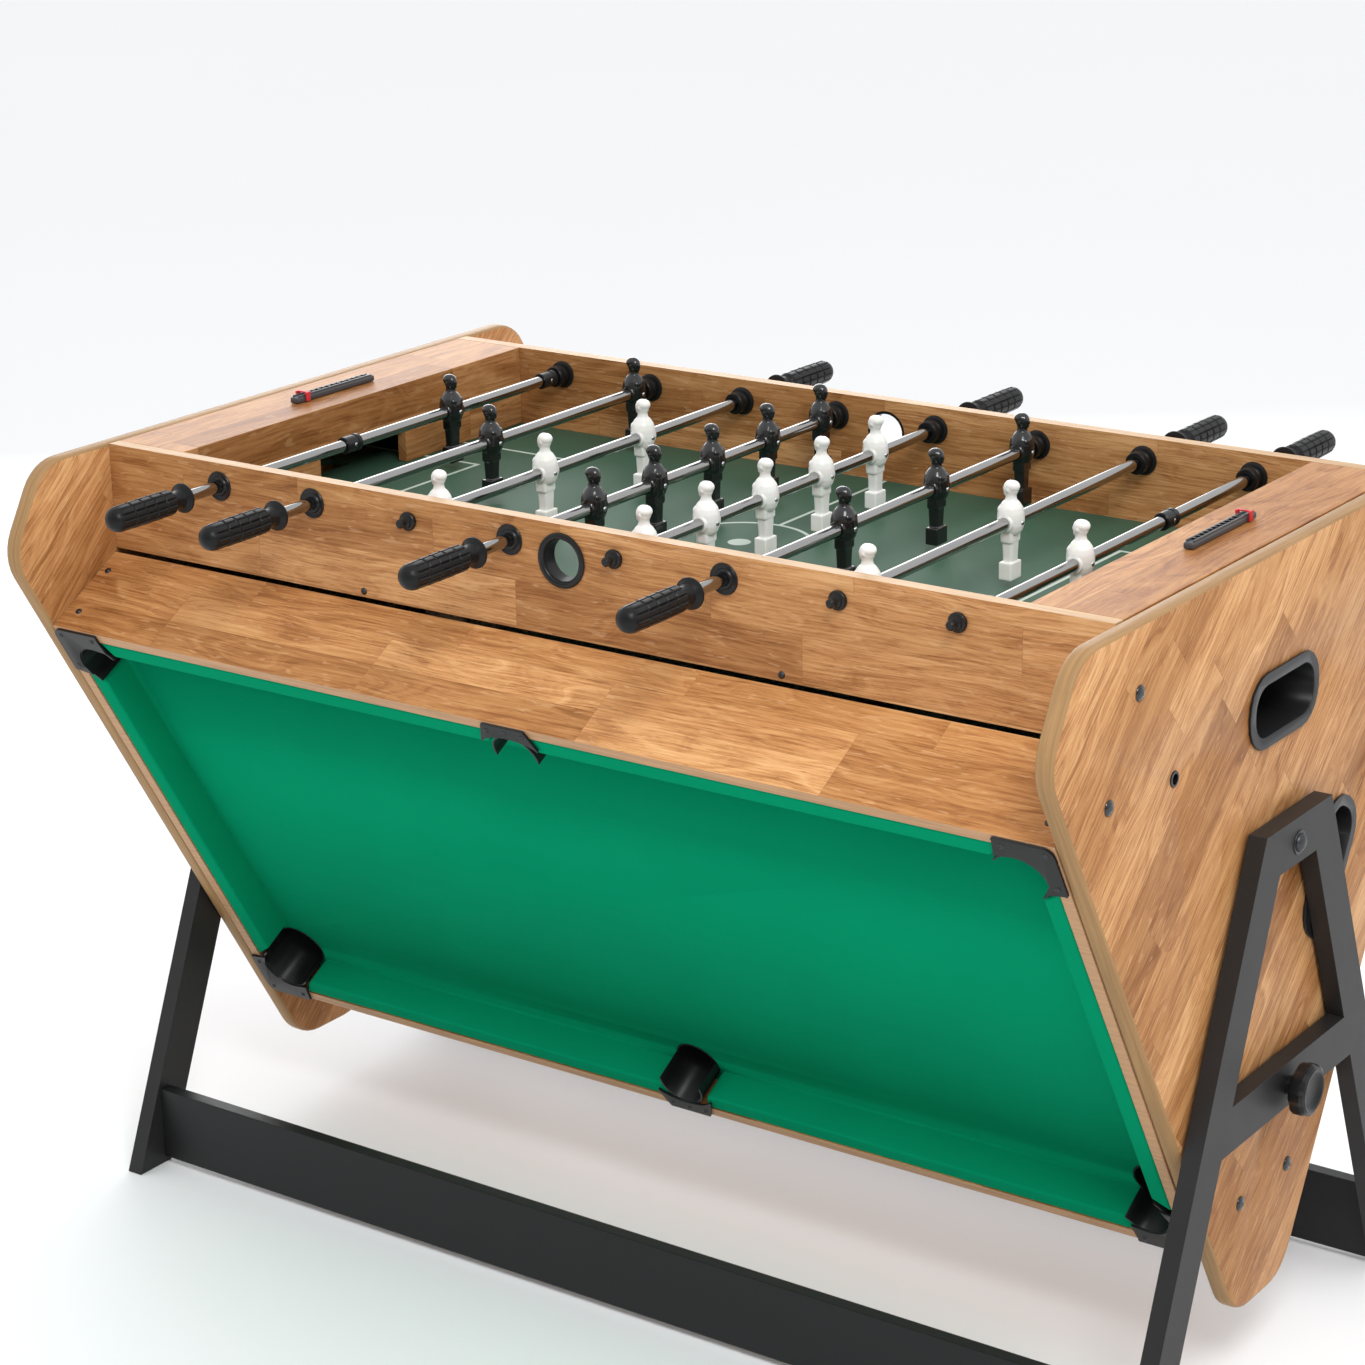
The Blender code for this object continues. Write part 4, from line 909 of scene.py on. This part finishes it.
def dress_bushes(k, x, side):
    """The bush in each wall, with its flanges, and the rubber bumper inside it."""
    through, wall, inside = 0.0081, HALF_WIDTH + HAIR, WALL_IN - HAIR
    bore = TUBE_RADIUS + 0.0004
    for end in (-1, 1):
        place = facing_y(x, 0, ROD_Z, end)
        outer = [(bore, wall + 0.0024), (0.0092, wall + 0.0024), (0.0098, wall + 0.0018),
                 (0.0104, wall + 0.0008), (0.0130, wall + 0.0010), (0.0148, wall + 0.0018),
                 (0.0155, wall + 0.0008), (0.0153, wall), (through, wall)]
        hidden = [(bore, wall - 0.0006), (through, wall - 0.0006)]
        flange = [(through, inside), (0.0150, inside), (0.0155, inside - 0.0008),
                  (0.0153, inside - 0.0022), (0.0140, inside - 0.0030), (0.0100, inside - 0.0032),
                  (bore, inside - 0.0032)]
        shape = bmesh.new()
        spun(shape, [*(outer if end == side else hidden), *flange], place, 40)
        finish(f"bush_{k}_{'rear' if end > 0 else 'front'}", shape, "plastic", "cabinet", (), 30)
        bumper = bmesh.new()
        back, front = inside - 0.0034, WALL_IN - 0.0190
        spun(bumper, [(bore, back), (0.0112, back), (0.0120, back - 0.0010),
                      (0.0120, back - 0.0050), (0.0106, back - 0.0060), (0.0106, back - 0.0072),
                      (0.0118, back - 0.0082), (0.0118, front + 0.0012), (0.0108, front),
                      (bore, front)], place, 36)
        finish(f"bumper_{k}_{'rear' if end > 0 else 'front'}", bumper, "rubber", "cabinet", (), 30)


# ---- pool ----------------------------------------------------------------------------------


def dress_bed():
    """The cloth-covered board, and over it the cushions with their noses rounded."""
    straight_out = game_frame("pool").inverted()
    data = frame["nodes"]["pool_bed"].data
    levels = sorted({round((straight_out @ v.co).z, 4) for v in data.vertices})
    clear_of_board = levels[1] + 0.0015  # the second level is the board's top
    nose_radius = 0.0030
    for name, bevel in (("pool_board_cloth", 0.0), ("pool_cushions", nose_radius)):
        shape = bmesh.new()
        shape.from_mesh(data)
        bmesh.ops.remove_doubles(shape, verts=shape.verts, dist=WELD)
        above = [f for f in shape.faces
                 if max((straight_out @ v.co).z for v in f.verts) > clear_of_board]
        unwanted = set(shape.faces) - set(above) if bevel else above
        bmesh.ops.delete(shape, geom=list(unwanted), context="FACES")
        if bevel:
            bmesh.ops.dissolve_limit(shape, angle_limit=NEARLY_FLAT, verts=shape.verts,
                                     edges=shape.edges)
        finish(name, shape, "felt", "cabinet", ("pool_bed",), 50, bevel, 5)


def dress_pool():
    """The bed with its cushions, the six pockets and the screws in their plates."""
    dress_bed()
    pockets = [f"pocket_{a}_{b}" for a in ("upper", "lower") for b in ("left", "middle", "right")]
    for pocket in pockets:
        softened(pocket, "plastic", bevel=0.0005, sharp=40)
    dress_plate_screws()


def dress_plate_screws():
    """Three screws in each pocket plate: a plate stands 0.8 mm off the rim and is 2.5 mm thick."""
    plate_top = FACE_OUT + 0.0008 + 0.0025
    apart, inset = 0.044, 0.0095
    side_spots = [(0.0, HALF_WIDTH - 0.0075), (-0.021, HALF_WIDTH - 0.0085),
                  (0.021, HALF_WIDTH - 0.0085)]
    far_x, far_y = INNER_HALF - inset, HALF_WIDTH - inset
    shape = bmesh.new()
    for side_y in (-1, 1):
        spots = list(side_spots)
        for side_x in (-1, 1):
            spots += [(side_x * far_x, far_y), (side_x * (far_x - apart), far_y),
                      (side_x * far_x, far_y - apart)]
        for x, y in spots:
            place = game_frame("pool") @ Matrix.Translation((x, side_y * y, plate_top))
            cross_screw(shape, PLATE_SCREW, place)
    finish("pocket_screws", shape, ["dark_steel", "plastic"], "cabinet")


# ---- studio --------------------------------------------------------------------------------


def make_studio():
    """A white floor under a soft white sky, with two wide lamps."""
    lay_floor()
    bpy.context.scene.world = soft_sky()
    bpy.context.scene.view_settings.view_transform = "Standard"
    soft_light("key", (2.0, -1.9, 3.3), 1.5, 62.0)
    soft_light("fill", (-2.0, 2.4, 1.4), 2.4, 42.0)


def lay_floor():
    """A wide sheet of white paper just under the feet."""
    paint = Paint("studio_paper", 0.85)
    cloud = paint.noise(0.6, 2.0)
    paint.set("Base Color", paint.mix(cloud, (0.91, 0.915, 0.92), (0.93, 0.935, 0.94)))
    shape = bmesh.new()
    bmesh.ops.create_grid(shape, x_segments=2, y_segments=2, size=30.0)
    mesh = bpy.data.meshes.new("studio_floor")
    shape.to_mesh(mesh)
    shape.free()
    mesh.materials.append(paint.material)
    floor = bpy.data.objects.new("studio_floor", mesh)
    floor.location.z = -0.0005
    bpy.context.scene.collection.objects.link(floor)


def soft_sky():
    """A near-white world that is brightest from behind, above and a little to the left."""
    brightest, darkest_at, full_at, darkest, full = (-0.30, 0.75, 0.55), -0.75, 0.05, 0.36, 1.06
    world = bpy.data.worlds.new("soft_white")
    world.use_nodes = True
    sky = Nodes(world.node_tree)
    outward = sky.node("ShaderNodeTexCoord", output="Generated")
    toward = sky.node("ShaderNodeVectorMath", {"operation": "DOT_PRODUCT"},
                      {0: outward, 1: brightest}, "Value")
    strength = sky.node("ShaderNodeMapRange", None,
                        {0: toward, 1: darkest_at, 2: full_at, 3: darkest, 4: full})
    background = world.node_tree.nodes["Background"].inputs
    sky.feed(background["Strength"], strength)
    sky.feed(background["Color"], (0.975, 0.985, 1.0, 1.0))
    return world


def soft_light(name, place, size, power):
    """A round lamp of a given width, aimed at the middle of the cabinet."""
    lamp = bpy.data.lights.new(name, "AREA")
    lamp.shape = "DISK"
    lamp.size = size
    lamp.energy = power
    light = bpy.data.objects.new(name, lamp)
    light.location = place
    aim = PIVOT - Vector(place)
    light.rotation_euler = aim.to_track_quat("-Z", "Y").to_euler()
    bpy.context.scene.collection.objects.link(light)


def make_camera():
    """Where the viewer stands: to the right of the front, above the rim, leaning a degree."""
    azimuth, elevation, lean = radians(35.53), radians(18.37), radians(-1.04)
    eye = (1.892, -2.754, 1.716)
    camera = bpy.data.objects.new("camera", bpy.data.cameras.new("camera"))
    camera.data.lens = 89.5
    camera.data.sensor_width = 36.0
    turn = (Matrix.Rotation(azimuth, 4, "Z") @ Matrix.Rotation(radians(90) - elevation, 4, "X")
            @ Matrix.Rotation(lean, 4, "Z"))
    camera.matrix_world = Matrix.Translation(eye) @ turn
    bpy.context.scene.collection.objects.link(camera)
    bpy.context.scene.camera = camera


make_camera()
dress_stand()
dress_cabinet()
dress_rods()
dress_pool()
make_studio()
